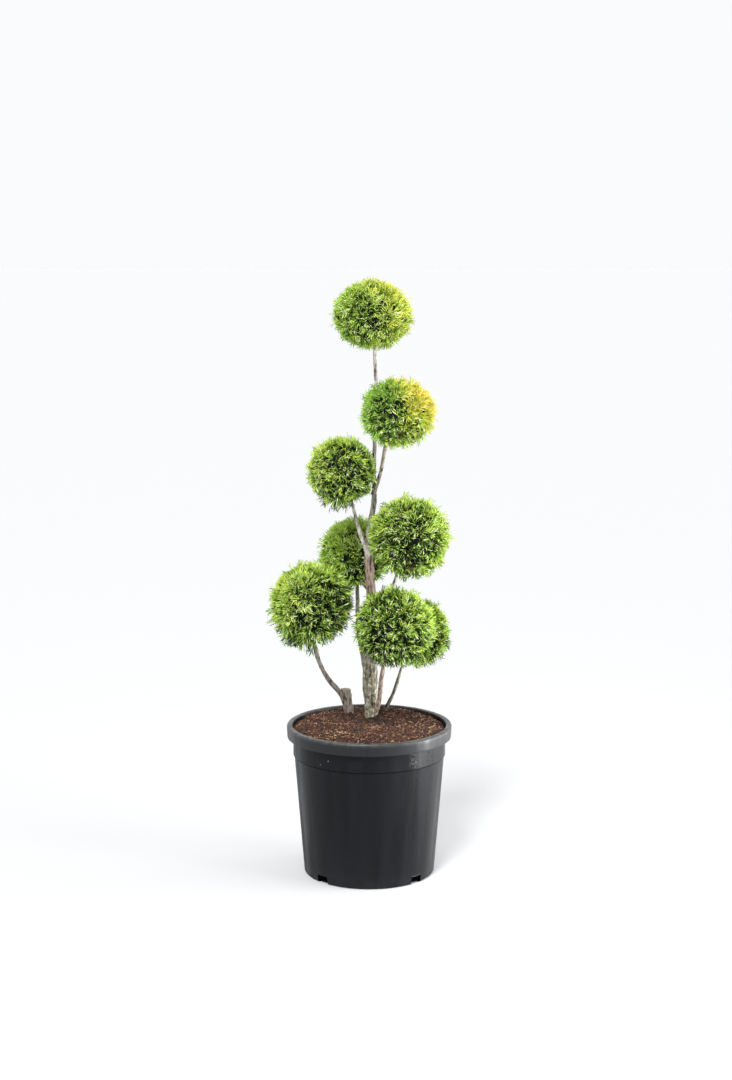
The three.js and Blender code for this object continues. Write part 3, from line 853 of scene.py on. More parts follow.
def blocked(points, name):
    """Which sprays have a point that touches a limb or lies in another ball's space."""
    count = len(points)
    flat = points.reshape(-1, 3)
    hit = np.zeros(len(flat), bool)
    ball = BALLS[name]
    near = np.linalg.norm(LIMB_PLACES - np.array(ball[0]), axis=1) < max(ball[1:4]) + 20
    for place, radius in zip(LIMB_PLACES[near], LIMB_RADII[near]):
        hit |= ((flat - place) ** 2).sum(-1) < (radius + GROWTH["clearance"]) ** 2
    for other_name, other in BALLS.items():
        if other_name == name:
            continue
        offset = flat - np.array(other[0], float)
        distance = np.linalg.norm(offset, axis=-1)
        hit |= distance < reach_of(other, offset / distance[:, None]) + GROWTH["gap"]
    return hit.reshape(count, -1).any(1)


def facing(directions, side):
    """The cosine of the angle between each direction and a side."""
    return directions @ unit(np.array(side, float))


def tone_of(name, directions):
    """A ball's tint towards each direction: its base, plus each side's strength times its squared cosine.

    The tint is partly the ball's own colour and partly painted light and shade.
    """
    base, *sides = TINTS_AND_PAINTED_LIGHT[name]
    tone = np.full(len(directions), base)
    for *side, strength in sides:
        tone += strength * np.clip(facing(directions, side), 0, 1) ** 2
    return tone


def fan_out(bearers, per, salt):
    """Several shoots for each bearer: their bearer's number, and even turns round it from a random start."""
    bearer = np.repeat(np.arange(bearers), per)
    fan = np.tile(np.arange(per), bearers)
    return bearer, (fan + share(bearer, salt + 3)) * FULL_TURN / per


def grow(name, order):
    """A ball's branching by the source's rule: even twigs, and shoots that lean away from each.

    Finer tip twigs carry it on, even all round, each from the shoot nearest to it."""
    ball = BALLS[name]
    salt = order + 1
    twigs = even_directions(GROWTH["twigs"], salt, GROWTH["jitter"])
    bearer, turn = fan_out(GROWTH["twigs"], GROWTH["shoots_per_twig"], salt)
    shoots = leant(twigs[bearer], GROWTH["shoot_lean"], turn)
    count = int(GROWTH["tips_at_75"] * (ball[1] / 75) ** 2)
    tips = even_directions(count, salt, GROWTH["tip_jitter"])
    nearest = np.argmax(tips @ shoots.T, axis=1)
    heart = np.array(ball[0], float)
    shoot_starts = place_in(ball, twigs, GROWTH["shoot_root"])[bearer]
    shoot_ends = place_in(ball, shoots, GROWTH["shoot_end"])
    tip_starts = between(shoot_starts, shoot_ends, 0.55)[nearest]
    tip_ends = place_in(ball, tips, GROWTH["tip_end"])
    twig_ends = place_in(ball, twigs, GROWTH["twig_end"])
    hearts = np.repeat(heart[None], len(twigs), 0)
    wood = [
        rods(hearts, twig_ends, GROWTH["twig_radius"] * 1.4, GROWTH["twig_radius"], 6),
        rods(shoot_starts, shoot_ends, GROWTH["shoot_radius"] * 1.2, GROWTH["shoot_radius"], 5),
        rods(tip_starts, tip_ends, GROWTH["tip_radius"] * 1.2, GROWTH["tip_radius"] * 0.7, 3),
    ]
    return tips, tip_starts, tip_ends, wood


def sunk_in(name, directions):
    """How deep in a hollow each direction lies, 0 to 1: the bell curve of its angle off the middle."""
    sunk = np.zeros(len(directions))
    for *side, half in HOLLOWS.get(name, []):
        angle = np.arccos(np.clip(facing(directions, side), -1, 1))
        sunk = np.maximum(sunk, bell(angle / half))
    return sunk


def spray_places(name, salt, tips, tip_starts, tip_ends):
    """Where a ball's sprays grow: each one's root, outward direction, trim, number, and whether it slants.

    Sprays fan out round each tip twig. Some tip twigs bear more that end at the ball's skin than others, and
    strays stand out past it, more of them on the underside. A tuft's sprays are leant round its direction."""
    ball = BALLS[name]
    bearer, turn = fan_out(len(tips), GROWTH["sprays_per_tip"], salt)
    number = np.arange(len(bearer))
    lean = between(*GROWTH["spray_lean"], share(number, salt + 6))
    slanted = share(number, salt + 16) < GROWTH["slant_share"]
    lean = np.where(slanted, between(*GROWTH["slant_lean"], share(number, salt + 6)), lean)
    outward = leant(tips[bearer], lean, turn)
    luck, part, bold = share(number, salt + 7), share(number, salt + 4), share(bearer, salt + 17)
    outer = luck < between(*GROWTH["outer_share"], bold)
    trim = np.where(outer, between(*GROWTH["outer_trim"], part), between(*GROWTH["inner_trim"], part))
    below = np.clip(-outward[:, 2], 0, 1)
    stray = luck < GROWTH["stray_share"] * (0.4 + bold) * (1 + 1.5 * below)
    trim = np.where(stray, between(*GROWTH["stray_trim"], part), trim)
    sunk = sunk_in(name, outward)
    trim = trim - GROWTH["hollow_depth"] * sunk
    root_part = between(*GROWTH["spray_root"], share(number, salt + 9))[:, None]
    roots = between(tip_starts[bearer], tip_ends[bearer], root_part)
    left = share(number, salt + 18) > 0.3 * sunk
    outward, trim, roots = outward[left], trim[left], roots[left]
    number, slanted = number[left], slanted[left]
    for tuft, (direction, spread, nearest, farthest, count, _) in enumerate(TUFTS.get(name, [])):
        hung = np.arange(count) + TUFT_STEP * tuft
        middle = np.repeat(unit(np.array([direction])), count, 0)
        hanging = leant(middle, spread * np.sqrt(share(hung, salt + 20)), share(hung, salt + 21) * FULL_TURN)
        outward = np.vstack([outward, hanging])
        trim = np.concatenate([trim, between(nearest, farthest, share(hung, salt + 22))])
        roots = np.vstack([roots, place_in(ball, hanging, np.full(count, TUFT_ROOT))])
        number = np.concatenate([number, FIRST_HUNG + hung])
        slanted = np.concatenate([slanted, hung < 0])
    return roots, outward, trim, number, slanted


def spray_tones(name, salt, outward, trim, number, slanted, deep):
    """The tint of each branchlet's base and tip, from the share of the reach at which its corners lie.

    It is the ball's tint on that side, partly its own colour and partly painted light and shade, with random
    shifts for each spray, for broad patches and for each branchlet. Where the ball faces the front or back it
    is painted lighter and warmer, and the tint falls with the depth inside as painted shade. Golden tints are
    held under the ball's limit, and dead ones and pale ones are dealt last; a pale one is partly a paler
    underside and partly a painted highlight."""
    depth = np.stack([deep[..., :4].mean(-1), deep[..., 2:].mean(-1)], -1)
    rim = np.clip((np.sqrt(np.clip(1 - outward[:, 1] ** 2, 0, 1)) - 0.6) / 0.35, 0, 1)
    luck = TONE["luck"] * (share(number, salt + 13) - 0.5)
    # Painted light: a ball is lighter and warmer where it faces the front or back.
    tone = tone_of(name, outward) + luck + between(*TONE["warmer"], rim)
    patch = rough(outward[:, 0] * 4 + 20 + salt, outward[:, 2] * 4 + outward[:, 1] * 3 + 20, salt)
    tone = tone + TONE["patch"] * patch + GROWTH["stray_tint"] * ((trim > 1) & (number < FIRST_HUNG))
    for tuft, (*_, tint) in enumerate(TUFTS.get(name, [])):
        tone = tone + tint * ((number - FIRST_HUNG) // TUFT_STEP == tuft)
    fleck = share(number[:, None] * 41 + np.arange(deep.shape[1]), salt + 14)
    tone = tone[:, None] + between(*TONE["fleck"], rim)[:, None] * (fleck - 0.5)
    # Painted shade: the tint falls with the depth below the level inside the ball.
    fall = between(*TONE["fall"], rim)[:, None, None]
    tone = tone[..., None] + fall * np.clip(depth - TONE["level"], -0.5, 0.05)
    golden = np.full(len(outward), float(GOLDEN_LIMITS.get(name, GOLDEN_LIMIT)))
    if name in GREEN_SIDES:
        *side, green = GREEN_SIDES[name]
        greener = (facing(outward, side) - 0.1) / 0.4
        golden[greener > share(number, salt + 16)] = green
    tone = np.minimum(tone, golden[:, None, None])
    if name in DEAD_PATCHES:
        *side, half = DEAD_PATCHES[name]
        dead = np.arccos(np.clip(facing(outward, side), -1, 1)) < half
        dead = dead & (share(number, salt + 15) < TONE["dead_share"])
        tone[dead] = DEAD_TINT
    # Pale flecks, more where a ball faces the front: partly a paler underside and partly a painted highlight.
    rare = np.where(slanted, TONE["pale_slanted"], between(*TONE["pale"], rim))
    pale = (fleck > rare[:, None])[..., None] & (depth > TONE["pale_level"])
    tone = np.where(pale & (tone > TONE["pale_least"]), PALE_TINT, tone)
    return tone[..., BASE_OR_TIP].ravel()


def leaf_spray_mesh(name, order, patterns):
    """The sprays of a ball: their branchlets' corners, the tint of each face, and the ball's twigs.

    A spray's corner is its root, plus its way along the axis, its offset across it and its lift off the
    plane. The axis arches off the plane and aside by the square of the way less the way. Corners past the
    trim are drawn in towards it, and a spray whose tips would touch a limb or another ball is left out."""
    ball = BALLS[name]
    salt = order + 1
    tips, tip_starts, tip_ends, wood = grow(name, order)
    roots, outward, trim, number, slanted = spray_places(name, salt, tips, tip_starts, tip_ends)
    along = place_in(ball, outward, trim) - roots
    length = np.linalg.norm(along, axis=-1, keepdims=True)
    along = along / length
    across = leant(along, np.full(len(along), QUARTER_TURN), share(number, salt + 5) * math.pi)
    face = np.cross(across, along)
    kind = (share(number, salt + 10) * len(patterns)).astype(int) % len(patterns)
    pattern = patterns[kind]
    way, offset, lift = pattern[..., 0], pattern[..., 1], pattern[..., 2]
    stretch = (length / SPRAY["length"])[:, :, None]
    widen = np.clip(stretch, *SPRAY["widen"])
    far = way / SPRAY["length"]
    bend = ((share(number, salt + 11) - 0.5) * SPRAY["bend"])[:, None, None]
    sway = ((share(number, salt + 12) - 0.5) * SPRAY["sway"])[:, None, None]
    settle = far * far - far
    droop = bend * settle + SPRAY["cup"] * offset**2 * np.sign(bend)
    corners = (
        roots[:, None, None]
        + along[:, None, None] * (way * stretch)[..., None]
        + across[:, None, None] * (offset * widen + sway * settle)[..., None]
        + face[:, None, None] * (lift + droop)[..., None]
    )
    heart = np.array(ball[0], float)
    outset = corners - heart
    distance = np.linalg.norm(outset, axis=-1)
    deep = distance / reach_of(ball, outset / distance[..., None])
    limit = (trim + SPRAY["past_trim"])[:, None, None]
    trimmed = np.where(deep > limit, limit + (deep - limit) * SPRAY["drawn_in"], deep)
    corners = heart + outset * (trimmed / deep)[..., None]
    kept = ~blocked(corners[:, :, TIP_CORNER], name)
    tone = spray_tones(name, salt, outward[kept], trim[kept], number[kept], slanted[kept], trimmed[kept])
    return corners[kept].reshape(-1, 3), tone, wood


# Scale leaves of a golden arborvitae, waxy and slightly shiny: each tint is its own plain colour. The two
# darkest greens are painted shade for leaves deep inside a ball and on its shaded sides, and the palest is
# partly a paler underside and partly a painted highlight.
LEAF_COLOURS = {
    "leaf_dead_brown": "#75663a",
    "leaf_inner_painted_shade": "#0d1307",
    "leaf_painted_shade_green": "#253613",
    "leaf_deep_green": "#4c6e26",
    "leaf_mid_green": "#749f38",
    "leaf_lime_green": "#9bc748",
    "leaf_yellow_green": "#bcd95a",
    "leaf_golden_green": "#d0de5e",
    "leaf_golden": "#e3df5c",
    "leaf_amber": "#e8cd4e",
    "leaf_pale_underside_and_highlight": "#e6edb8",
}
leaf_materials = [plain_material(name, colour, 0.55, 0.3) for name, colour in LEAF_COLOURS.items()]


# How light bark is for the sum of its fibre and blotch noise: dark cracks, then the weathered face.
BARK_SHADES = [(0.57, "#3c3734"), (0.66, "#85827f"), (0.74, "#c8c7c6"), (0.82, "#f0f0f0"), (0.93, "#ffffff")]


def make_bark(name, tints, fibre, lichen=None):
    """Thin fibrous bark of a young arborvitae, weathered by rain: drawn-out fibres and blotches over a tint.

    The tint changes along the height. Fibres are noise squeezed across the grain, blotches are coarse noise,
    and their sum darkens the tint. Lichen lies in spots near the ground, and the fibres drive the bump."""
    made, tree, shader, place = new_material(name, {"Roughness": 0.85})
    drawn = add_node(tree, "Mapping", {"Scale": (1, 1, 0.16)}, {"Vector": place})
    fine = {"Scale": 1 / (fibre * MM), "Detail": 5.0, "Roughness": 0.65}
    fibres = add_node(tree, "TexNoise", fine, {"Vector": drawn})
    broad = {"Scale": 1 / (11 * MM), "Detail": 3.0, "Roughness": 0.6}
    blotches = add_node(tree, "TexNoise", broad, {"Vector": place})
    both = {0: blotches, 2: fibres}
    blend = add_node(tree, "Math", {"operation": "MULTIPLY_ADD", 1: 0.55}, both)
    shade = add_node(tree, "ValToRGB", {"stops": BARK_SHADES}, {"Fac": blend})
    height = add_node(tree, "SeparateXYZ", links={"Vector": place})
    tint = add_node(tree, "ValToRGB", {"stops": tints}, {"Fac": height.outputs["Z"]})
    last = tint.outputs["Color"]
    if lichen:
        speckle = {"Scale": 1 / (8 * MM), "Detail": 4.0, "Roughness": 0.7}
        spots = add_node(tree, "TexNoise", speckle, {"Vector": place})
        heights = {"From Min": 0.45, "From Max": 0.36, "To Min": 0.0, "To Max": 1.0}
        low = add_node(tree, "MapRange", heights, {"Value": height.outputs["Z"]})
        edges = {"From Min": 0.5, "From Max": 0.58}
        where = add_node(tree, "MapRange", edges, {"Value": spots})
        both = {0: low, 1: where}
        amount = add_node(tree, "Math", {"operation": "MULTIPLY"}, both)
        over = {"data_type": "RGBA", 7: hex_linear(lichen)}
        last = add_node(tree, "Mix", over, {0: amount, 6: last}).outputs[2]
    multiply = {"data_type": "RGBA", "blend_type": "MULTIPLY", 0: 1.0}
    colour = add_node(tree, "Mix", multiply, {6: last, 7: shade})
    tree.links.new(colour.outputs[2], shader.inputs["Base Color"])
    raised = {"Strength": 0.8, "Distance": 0.0009}
    grain = add_node(tree, "Bump", raised, {"Height": fibres})
    tree.links.new(grain.outputs["Normal"], shader.inputs["Normal"])
    return made


# Tints by height in metres: mossy near the ground, pinkish up to the fork, pale over it, partly the bark's
# own colour and partly painted light against the balls' shade there, then a darker grey band that is a
# painted shadow under the upper right ball, then pale pink.
TRUNK_BARK = make_bark(
    "weathered_trunk_bark_and_painted_light",
    [
        (0.3, "#7d7663"),
        (0.41, "#857e6b"),
        (0.46, "#9b897a"),
        (0.6, "#a68f80"),
        (0.62, "#e2dfcc"),
        (0.69, "#d9d3c6"),
        (0.73, "#a39a8e"),
        (0.83, "#a1978b"),
        (0.88, "#f7ece6"),
    ],
    3.6,
    "#b9bba3",
)
RED_BARK = make_bark("reddish_young_bark", [(0.3, "#a8917f"), (0.42, "#c0aa9a"), (0.8, "#b5a79a")], 3.0)
GREY_BARK = make_bark(
    "grey_bough_bark", [(0.3, "#867c70"), (0.35, "#8f867a"), (0.44, "#bfb5aa"), (0.65, "#ebe1d9")], 3.0
)
DARK_BARK = make_bark("shaded_bough_bark", [(0.3, "#8f8a80"), (0.6, "#8a8278")], 2.2)


def make_twig_wood():
    """Green-brown wood of this year's twigs, unweathered: mottled by fine noise, most of it in shade."""
    made, tree, shader, place = new_material("green_brown_twig_wood", {"Roughness": 0.75})
    mottle = add_node(tree, "TexNoise", {"Scale": 1 / (6 * MM), "Detail": 3.0}, {"Vector": place})
    browns = [(0.3, "#3f3a20"), (0.55, "#6b5533"), (0.75, "#8a7048")]
    colour = add_node(tree, "ValToRGB", {"stops": browns}, {"Fac": mottle})
    tree.links.new(colour.outputs["Color"], shader.inputs["Base Color"])
    return made


def make_sawn_wood():
    """Old sawn softwood, greyed by weather, with faint growth rings round the cut's middle."""
    made, tree, shader, place = new_material("weathered_sawn_wood", {"Roughness": 0.9})
    centred = add_node(tree, "Mapping", {"Location": (0.046, -0.045, 0)}, {"Vector": place})
    waves = {"wave_type": "RINGS", "rings_direction": "Z", "Scale": 1 / (7.5 * MM), "Distortion": 1.5}
    growth_rings = add_node(tree, "TexWave", waves, {"Vector": centred})
    greys = [(0.1, "#6d6256"), (0.6, "#8f8475"), (1.0, "#a79c8b")]
    colour = add_node(tree, "ValToRGB", {"stops": greys}, {"Fac": growth_rings.outputs["Fac"]})
    tree.links.new(colour.outputs["Color"], shader.inputs["Base Color"])
    return made


# How much wear, dust and painted sheen the pot has by height in metres, as a grey: dusty foot, clean body,
# a lighter rim that is partly rubbed and partly a painted sheen, and a pale lip that is partly worn and
# partly a painted highlight.
POT_WEAR_AND_SHEEN = [
    (0.0, "#444444"),
    (0.03, "#202020"),
    (0.08, "#0a0a0a"),
    (0.26, "#0a0a0a"),
    (0.2625, "#111111"),
    (0.28, "#202020"),
    (0.2834, "#b4b4b4"),
]


def make_pot_plastic(name, shine):
    """Injection-moulded black polypropylene: satin, with flow streaks down it, a worn rim and a dusty foot.

    Streaks are noise drawn out upright, and make the gloss uneven. Wear, dust and painted sheen follow the
    height, broken up by coarse noise; the lip's pale grey is partly wear and partly a painted highlight. The
    moulded grain is fine noise in the bump, drawn at 1.4 mm so that it shows."""
    made, tree, shader, place = new_material(name, {"Specular IOR Level": shine})
    drawn = add_node(tree, "Mapping", {"Scale": (1, 1, 0.05)}, {"Vector": place})
    flow = {"Scale": 1 / (26 * MM), "Detail": 3.0, "Roughness": 0.5}
    streaks = add_node(tree, "TexNoise", flow, {"Vector": drawn})
    scuffs = {"Scale": 1 / (12 * MM), "Detail": 6.0, "Roughness": 0.68}
    patches = add_node(tree, "TexNoise", scuffs, {"Vector": place})
    height = add_node(tree, "SeparateXYZ", links={"Vector": place})
    # Painted sheen and highlight on the rim and lip, and real dust at the foot, follow the height.
    wear_and_sheen = add_node(tree, "ValToRGB", {"stops": POT_WEAR_AND_SHEEN}, {"Fac": height.outputs["Z"]})
    uneven = {"From Min": 0.35, "From Max": 0.65, "To Min": 0.35, "To Max": 1.0}
    broken = add_node(tree, "MapRange", uneven, {"Value": patches})
    both = {0: wear_and_sheen, 1: broken}
    worn_and_sheen = add_node(tree, "Math", {"operation": "MULTIPLY"}, both)
    blacks = [(0.35, "#050609"), (0.65, "#0d0f15")]
    tint = add_node(tree, "ValToRGB", {"stops": blacks}, {"Fac": streaks})
    dust_and_sheen = {"data_type": "RGBA", 7: hex_linear("#777675")}
    colour = add_node(tree, "Mix", dust_and_sheen, {0: worn_and_sheen, 6: tint})
    tree.links.new(colour.outputs[2], shader.inputs["Base Color"])
    sheen = {"From Min": 0.35, "From Max": 0.65, "To Min": 0.2, "To Max": 0.56}
    gloss = add_node(tree, "MapRange", sheen, {"Value": streaks})
    tree.links.new(gloss.outputs["Result"], shader.inputs["Roughness"])
    moulded = {"Scale": 1 / (1.4 * MM), "Detail": 2.0, "Roughness": 0.5}
    grain = add_node(tree, "TexNoise", moulded, {"Vector": place})
    raised = {"Strength": 0.12, "Distance": 0.0004}
    bump = add_node(tree, "Bump", raised, {"Height": grain})
    tree.links.new(bump.outputs["Normal"], shader.inputs["Normal"])
    return made


def make_peat():
    """Damp milled peat: one noise as fine as its crumbs gives its reddish browns and its small pits."""
    made, tree, shader, place = new_material("damp_milled_peat", {"Roughness": 0.95})
    matted = {"Scale": 1 / (4 * MM), "Detail": 5.0, "Roughness": 0.7}
    crumbs = add_node(tree, "TexNoise", matted, {"Vector": place})
    browns = [(0.3, "#100a08"), (0.48, "#312017"), (0.6, "#553626"), (0.72, "#7a5842")]
    colour = add_node(tree, "ValToRGB", {"stops": browns}, {"Fac": crumbs})
    tree.links.new(colour.outputs["Color"], shader.inputs["Base Color"])
    raised = {"Strength": 0.8, "Distance": 0.0015}
    bump = add_node(tree, "Bump", raised, {"Height": crumbs})
    tree.links.new(bump.outputs["Normal"], shader.inputs["Normal"])
    return made


# Loose bits on the peat, dry and matt: each tint of fibre or crumb is its own plain colour.
PEAT_BITS = {
    "peat_crumb_dark": "#1f140f",
    "peat_crumb_brown": "#442a1d",
    "peat_fibre_red": "#6f432f",
    "peat_fibre_pink": "#a27a61",
    "straw_fibre": "#b3935f",
    "straw_pale": "#d6c598",
}
bit_materials = [plain_material(name, colour, 0.9) for name, colour in PEAT_BITS.items()]


def pot_kinds(points, faces):
    """1 for a face that lines a drain notch, by its middle's height, radius and angle off the notch's middle.

    2 for a face of the rim, by its middle's height and radius, and 0 for the rest."""
    middles = np.concatenate([points[face].mean(1) for face in faces])
    radius = np.hypot(middles[:, 0], middles[:, 1])
    quarter = FULL_TURN / NOTCH["count"]
    away = np.arctan2(middles[:, 1], middles[:, 0]) - NOTCH["first_angle"] + quarter / 2
    away = np.mod(away, quarter) - quarter / 2
    inside = (radius > POT["base_radius"] - NOTCH["depth"] - 0.5) & (radius < POT["base_radius"] + 0.5)
    half = NOTCH["width"] / 2 / POT["base_radius"]
    lining = inside & (np.abs(away) < half) & (middles[:, 2] > 0.5) & (middles[:, 2] < NOTCH["height"] + 0.1)
    rim = (middles[:, 2] > POT["height"] - POT["rim_band"]) & (radius > POT["collar_radius"])
    return lining + 2 * rim


# The notches open into the hollow under the pot, where almost no light comes back out: their lining is
# painted near black as painted shade.
shadowed_opening = plain_material("shadowed_drain_opening", "#050505", 1.0, 0.0)
pot_points, pot_faces = revolve(pot_profile(), POT["columns"], shape_pot)
pot_finishes = [
    make_pot_plastic("moulded_black_polypropylene", 0.18),
    shadowed_opening,
    make_pot_plastic("rubbed_black_polypropylene", 0.4),
]
pot = put_mesh("nursery_pot", pot_points, pot_faces, pot_finishes, pot_kinds(pot_points, pot_faces))
pot.data.set_sharp_from_angle(angle=SHARP)
stand_for(pot, "pot_plastic", "pot")


def collar_dots():
    """Low four-sided pyramids on the collar: angle, height and size are random in the patch, or given."""
    number = np.arange(STIPPLE["count"])
    angle = STIPPLE["angle"] + STIPPLE["spread"] * (2 * share(number, 91) - 1)
    height = between(STIPPLE["low"], STIPPLE["high"], share(number, 92))
    size = STIPPLE["dot"] * between(0.5, 1.3, share(number, 93))
    nubs = np.array(NUBS)
    angle = np.append(angle, nubs[:, 0])
    height = np.append(height, nubs[:, 1])
    size = np.append(size, nubs[:, 2])
    out = np.stack([np.cos(angle), np.sin(angle), 0 * angle], -1)
    aside = np.stack([-np.sin(angle), np.cos(angle), 0 * angle], -1)
    radius = POT["collar_radius"] + out_of_round(angle)
    foot = out * (radius - 0.2)[:, None] + UP * height[:, None]
    step, rise = aside * size[:, None], UP * size[:, None]
    top = foot + out * (0.2 + STIPPLE["lift"] * size)[:, None]
    points = np.stack([foot - step, foot - rise, foot + step, foot + rise, top], 1)
    pyramid = np.array([[0, 1, 4], [1, 2, 4], [2, 3, 4], [3, 0, 4]])
    faces = (np.arange(len(angle)) * 5)[:, None, None] + pyramid
    return points.reshape(-1, 3), [faces.reshape(-1, 3)]


# The raised dots are a paler grey than the skin round them: painted glints.
dot_glint_grey = plain_material("raised_dots_painted_glint", "#5f5f63", 0.35)
dots = put_mesh("collar_dots", *collar_dots(), [dot_glint_grey], smooth=False)
stand_for(dots, "pot_plastic", "pot")

soil_foot = GROUND - SOIL["depth"]
soil_profile = [(70, soil_foot), (136, soil_foot), (140, 268), (SOIL["edge_radius"], 275)]
soil_profile += [(radius, GROUND) for radius in np.linspace(SOIL["edge_radius"] - 1, 1.5, 92)]
soil_points, soil_faces = revolve(soil_profile, 260, soil_grid)
soil = put_mesh("peat_bed", soil_points, soil_faces, [make_peat()])
stand_for(soil, "peat", "soil")

chip_points, chip_faces, chip_places = soil_bits(SOIL["chips"], 41, *CHIP)
fibre_points, fibre_faces, fibre_places = soil_bits(SOIL["fibres"], 61, *FIBRE)
bit_places = np.vstack([chip_places, fibre_places])
straw = rough(bit_places[:, 0] / 34 + 7, bit_places[:, 1] / 34 + 7, 71)
luck = share(np.arange(len(bit_places)), 81) + 0.1 * straw
luck[SOIL["chips"] :] += 0.06
for spot in STRAW_SPOTS:
    luck += 0.24 * bell(np.linalg.norm(bit_places - spot, axis=-1) / STRAW_REACH)
for bank in BANKS:
    luck -= 0.3 * bell(np.linalg.norm(bit_places - bank[:2], axis=-1) / STEM_SHADE)
bit_kinds = np.searchsorted(BIT_STEPS, luck)
bit_points, bit_faces = join([(chip_points, [chip_faces]), (fibre_points, [fibre_faces])])
bits = put_mesh("peat_bits", bit_points, bit_faces, bit_materials, np.repeat(bit_kinds, 8), smooth=False)
stand_for(bits, "peat")

leader = close_tube(*bark_tube(TRUNK, KNOTS["trunk"], 3, 56, 620))
stub = close_tube(*bark_tube(DEAD_TWIG, [], 5, 10, 24))
trunk = put_mesh("trunk_with_bark", *join([leader, stub]), [TRUNK_BARK])
stand_for(trunk, "trunk_bark", "trunk")

BOUGH_BARKS = {"bough_lower_front": RED_BARK, "bough_upper_right": RED_BARK, "bough_middle_back": DARK_BARK}
for number, (bough_name, stations) in enumerate(BOUGHS.items()):
    tube = close_tube(*bark_tube(stations, KNOTS[bough_name], 11 + number, 30, 170, collar=0.28))
    bough = put_mesh(f"{bough_name}_bark", *tube, [BOUGH_BARKS.get(bough_name, GREY_BARK)])
    stand_for(bough, "bough_bark", bough_name)


def left_stem():
    """The sawn-off stem: its rings are stretched so that the last lies on the sloping saw cut.

    A ring of bark stands out at one height as a bell curve, and the cut's rim is drawn in a little."""
    points, path = bark_tube(LEFT_STEM, KNOTS["left_stem"], 21, 44, 90)
    foot = path[0, 2]
    cut = SAW_CUT["height"] - np.tan(SAW_CUT["tilt"]) * (points[..., 0] - LEFT_STEM[-1][0])
    points[..., 2] = foot + (points[..., 2] - foot) * (cut - foot) / (path[-1, 2] - foot)
    way = bell((points[..., 2] - FOOT_RING["height"]) / FOOT_RING["thickness"])
    centre = path[:, None].copy()
    outward = points - centre
    outward[..., 2] = 0
    points = points + outward * (way * FOOT_RING["lift"] / 10)[..., None]
    rim = points[-1:].copy()
    rim[..., :2] += (path[-1, :2] - rim[..., :2]) * SAW_CUT["draw_in"]
    rim[..., 2] += SAW_CUT["rise"]
    points = np.concatenate([points, rim])
    top = path[-1].copy()
    top[2] = SAW_CUT["height"] + SAW_CUT["rise"]
    return close_tube(points, np.vstack([path[0], top]))


stem_points, stem_faces = left_stem()
stem_kinds = np.concatenate([np.zeros(len(stem_faces[0]) + len(stem_faces[1])), np.ones(len(stem_faces[2]))])
stem = put_mesh("left_stem_bark", stem_points, stem_faces, [GREY_BARK, make_sawn_wood()], stem_kinds)
stand_for(stem, "bough_bark", "stem_lower_left")

thin_tube = close_tube(*bark_tube(RIGHT_STEM, KNOTS["right_stem"], 25, 24, 150))
thin = put_mesh("right_stem_bark", *thin_tube, [GREY_BARK])
stand_for(thin, "bough_bark", "stem_lower_right")

LIMBS = {"trunk": TRUNK, "right_stem": RIGHT_STEM, **BOUGHS}
twig_wood = make_twig_wood()


def heart_stem(ball):
    """A limb carried on from its tip to the ball's heart, straight at first and then bent to it."""
    stations = LIMBS[ball[4]]
    tip = np.array(stations[-1][:3], float)
    along = unit(tip - np.array(stations[-2][:3], float))
    bend = tip + along * GROWTH["stem_lead"]
    route = [(*(tip - along * 2), 0), (*bend, 0), (*ball[0], 0)]
    path, way = curve_points(route, 24)
    start, end = GROWTH["stem_taper"]
    radius = between(stations[-1][3] * start, stations[-1][3] * end, way / way[-1])[:, None]
    turns = np.arange(10)[None] * FULL_TURN / 10
    return close_tube(rings(path, radius, turns), path)


def core_of(ball, salt):
    """A ball's dark inside, as painted shade.

    It is a sphere's grid at a share of the ball's reach, with random lumps.
    """
    turns, heights = 40, 26
    polar = (np.arange(1, heights) * math.pi / heights)[:, None]
    angle = (np.arange(turns) * FULL_TURN / turns)[None]
    directions = np.stack(
        [np.sin(polar) * np.cos(angle), np.sin(polar) * np.sin(angle), -np.cos(polar) + 0 * angle], -1
    )
    lumps = rough(angle / FULL_TURN * 12 + 0 * polar, polar * 4 + 0 * angle, salt, 12)
    grid = place_in(ball, directions, GROWTH["core"] + GROWTH["core_lump"] * lumps)
    poles = place_in(ball, np.array([(0, 0, -1.0), (0, 0, 1.0)]), GROWTH["core"])
    return np.vstack([grid.reshape(-1, 3), poles]), tube_faces(heights - 1, turns)


# A near black shell stands for the shade inside each ball: painted shade.
painted_shade_core_material = plain_material("painted_shade_core", "#0c1107", 0.9)
spray_patterns = np.stack([spray_pattern(100 + 10 * kind) for kind in range(SPRAY["kinds"])])
for order, (ball_name, ball) in enumerate(BALLS.items()):
    leaf_points, tone, wood = leaf_spray_mesh(ball_name, order, spray_patterns)
    starts = np.arange(0, len(leaf_points), len(BRANCHLET))[:, None, None]
    leaf_faces = (starts + BRANCHLET_FACES).reshape(-1, 3)
    kinds = np.searchsorted(LEAF_STEPS, tone)
    leaves = put_mesh(f"{ball_name}_sprays", leaf_points, [leaf_faces], leaf_materials, kinds, smooth=False)
    golden = ball_name in ("foliage_top", "foliage_upper_right")
    slot = "golden_foliage" if golden else "green_foliage"
    stand_for(leaves, slot, ball_name)
    twig_points, twig_faces = join([heart_stem(ball), *wood])
    twigs = put_mesh(f"{ball_name}_twigs", twig_points, twig_faces, [twig_wood])
    stand_for(twigs, slot, ball_name)
    core = put_mesh(f"{ball_name}_core", *core_of(ball, order + 1), [painted_shade_core_material])
    stand_for(core, slot, ball_name)

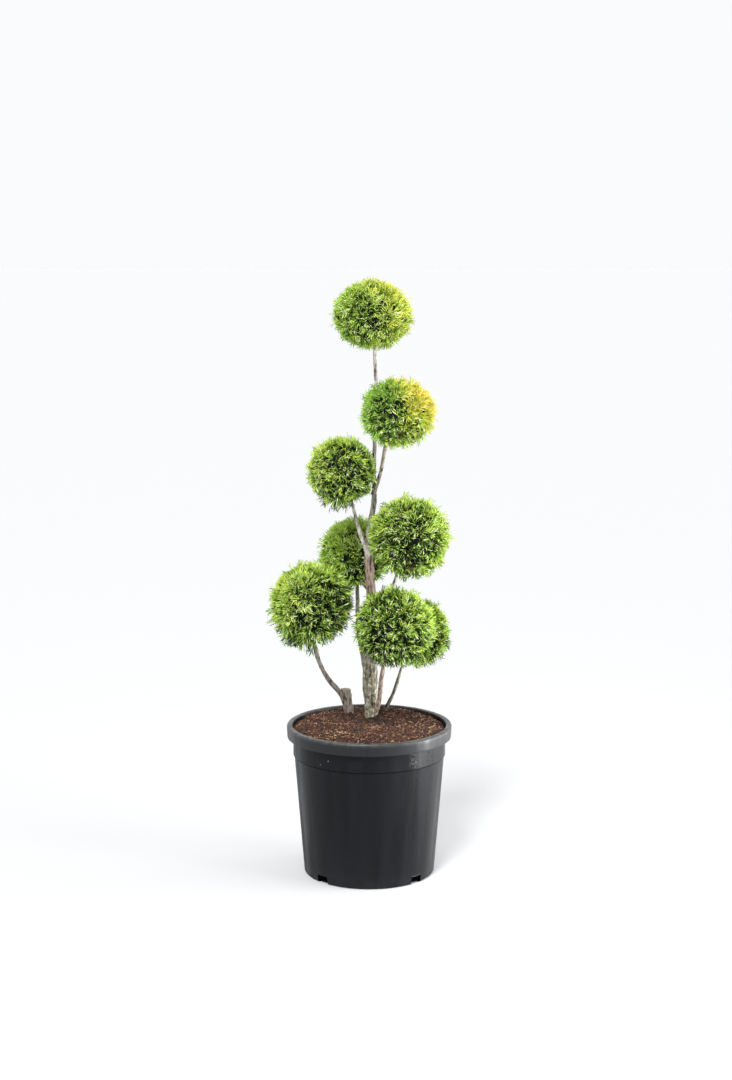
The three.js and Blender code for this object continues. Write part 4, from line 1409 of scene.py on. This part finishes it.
# A plain pale matt floor.
floor_material = plain_material("pale_matt_floor", "#c8c9ca", 0.9)
FLOOR_HALF = 30000
floor_points = np.array([(-1, -1, 0), (1, -1, 0), (1, 1, 0), (-1, 1, 0)], float) * FLOOR_HALF
floor = put_mesh("studio_floor", floor_points, [np.array([[0, 1, 2, 3]])], [floor_material])


def soft_light(name, place, aim, size, height, power):
    """A rectangular studio light at a place in metres, turned so that its face looks at the aim."""
    lamp = bpy.data.lights.new(name, "AREA")
    lamp.shape = "RECTANGLE"
    lamp.size = size
    lamp.size_y = height
    lamp.energy = power
    made = put_object(name, lamp)
    made.location = place
    made.rotation_euler = (Vector(aim) - Vector(place)).to_track_quat("-Z", "Y").to_euler()


soft_light("low_right", (0.86, -0.17, 0.27), (0, -0.17, 0.2), 0.4, 0.5, 9)
soft_light("low_right_back", (0.95, 0.45, 0.27), (0, 0.45, 0.2), 0.3, 0.5, 4)
soft_light("high_right", (1.9, -1.1, 1.0), (0, 0, 0.6), 0.5, 0.8, 16)

# The key light is a wide soft sun from the upper left front.
key = bpy.data.lights.new("soft_key", "SUN")
key.energy = 3.3
key.angle = math.radians(20)
key_light = put_object("soft_key", key)
key_light.rotation_euler = Vector((0.3, 0.78, -0.97)).to_track_quat("-Z", "Y").to_euler()

world = bpy.data.worlds.new("white_studio")
world.use_nodes = True
sky = world.node_tree
sky.nodes.clear()
# The white studio is dimmer on the side the camera stands on.
towards = add_node(sky, "TexCoord").outputs["Generated"]
depth = add_node(sky, "SeparateXYZ", links={"Vector": towards})
dimming = {"From Min": -0.8, "From Max": 0.2, "To Min": 0.6, "To Max": 1.0}
white = add_node(sky, "MapRange", dimming, {"Value": depth.outputs["Y"]})
pale_white = {"Color": hex_linear("#fafbfc")}
glow = add_node(sky, "Background", pale_white, {"Strength": white})
add_node(sky, "OutputWorld", links={"Surface": glow})
bpy.context.scene.world = world
bpy.context.scene.view_settings.view_transform = "Standard"

# The camera stands 3.95 m in front of the pot with a lens of about 70 mm on a 36 mm side.
camera_data = bpy.data.cameras.new("studio_camera")
camera_data.lens = 70.7
camera_data.sensor_width = 36
camera_data.shift_x = 0.001
camera_data.shift_y = -0.104
camera = put_object("studio_camera", camera_data)
camera.location = (-0.0083, -3.95, 1.302)
camera.rotation_euler = (math.radians(90 - 6.5), 0, 0)
bpy.context.scene.camera = camera
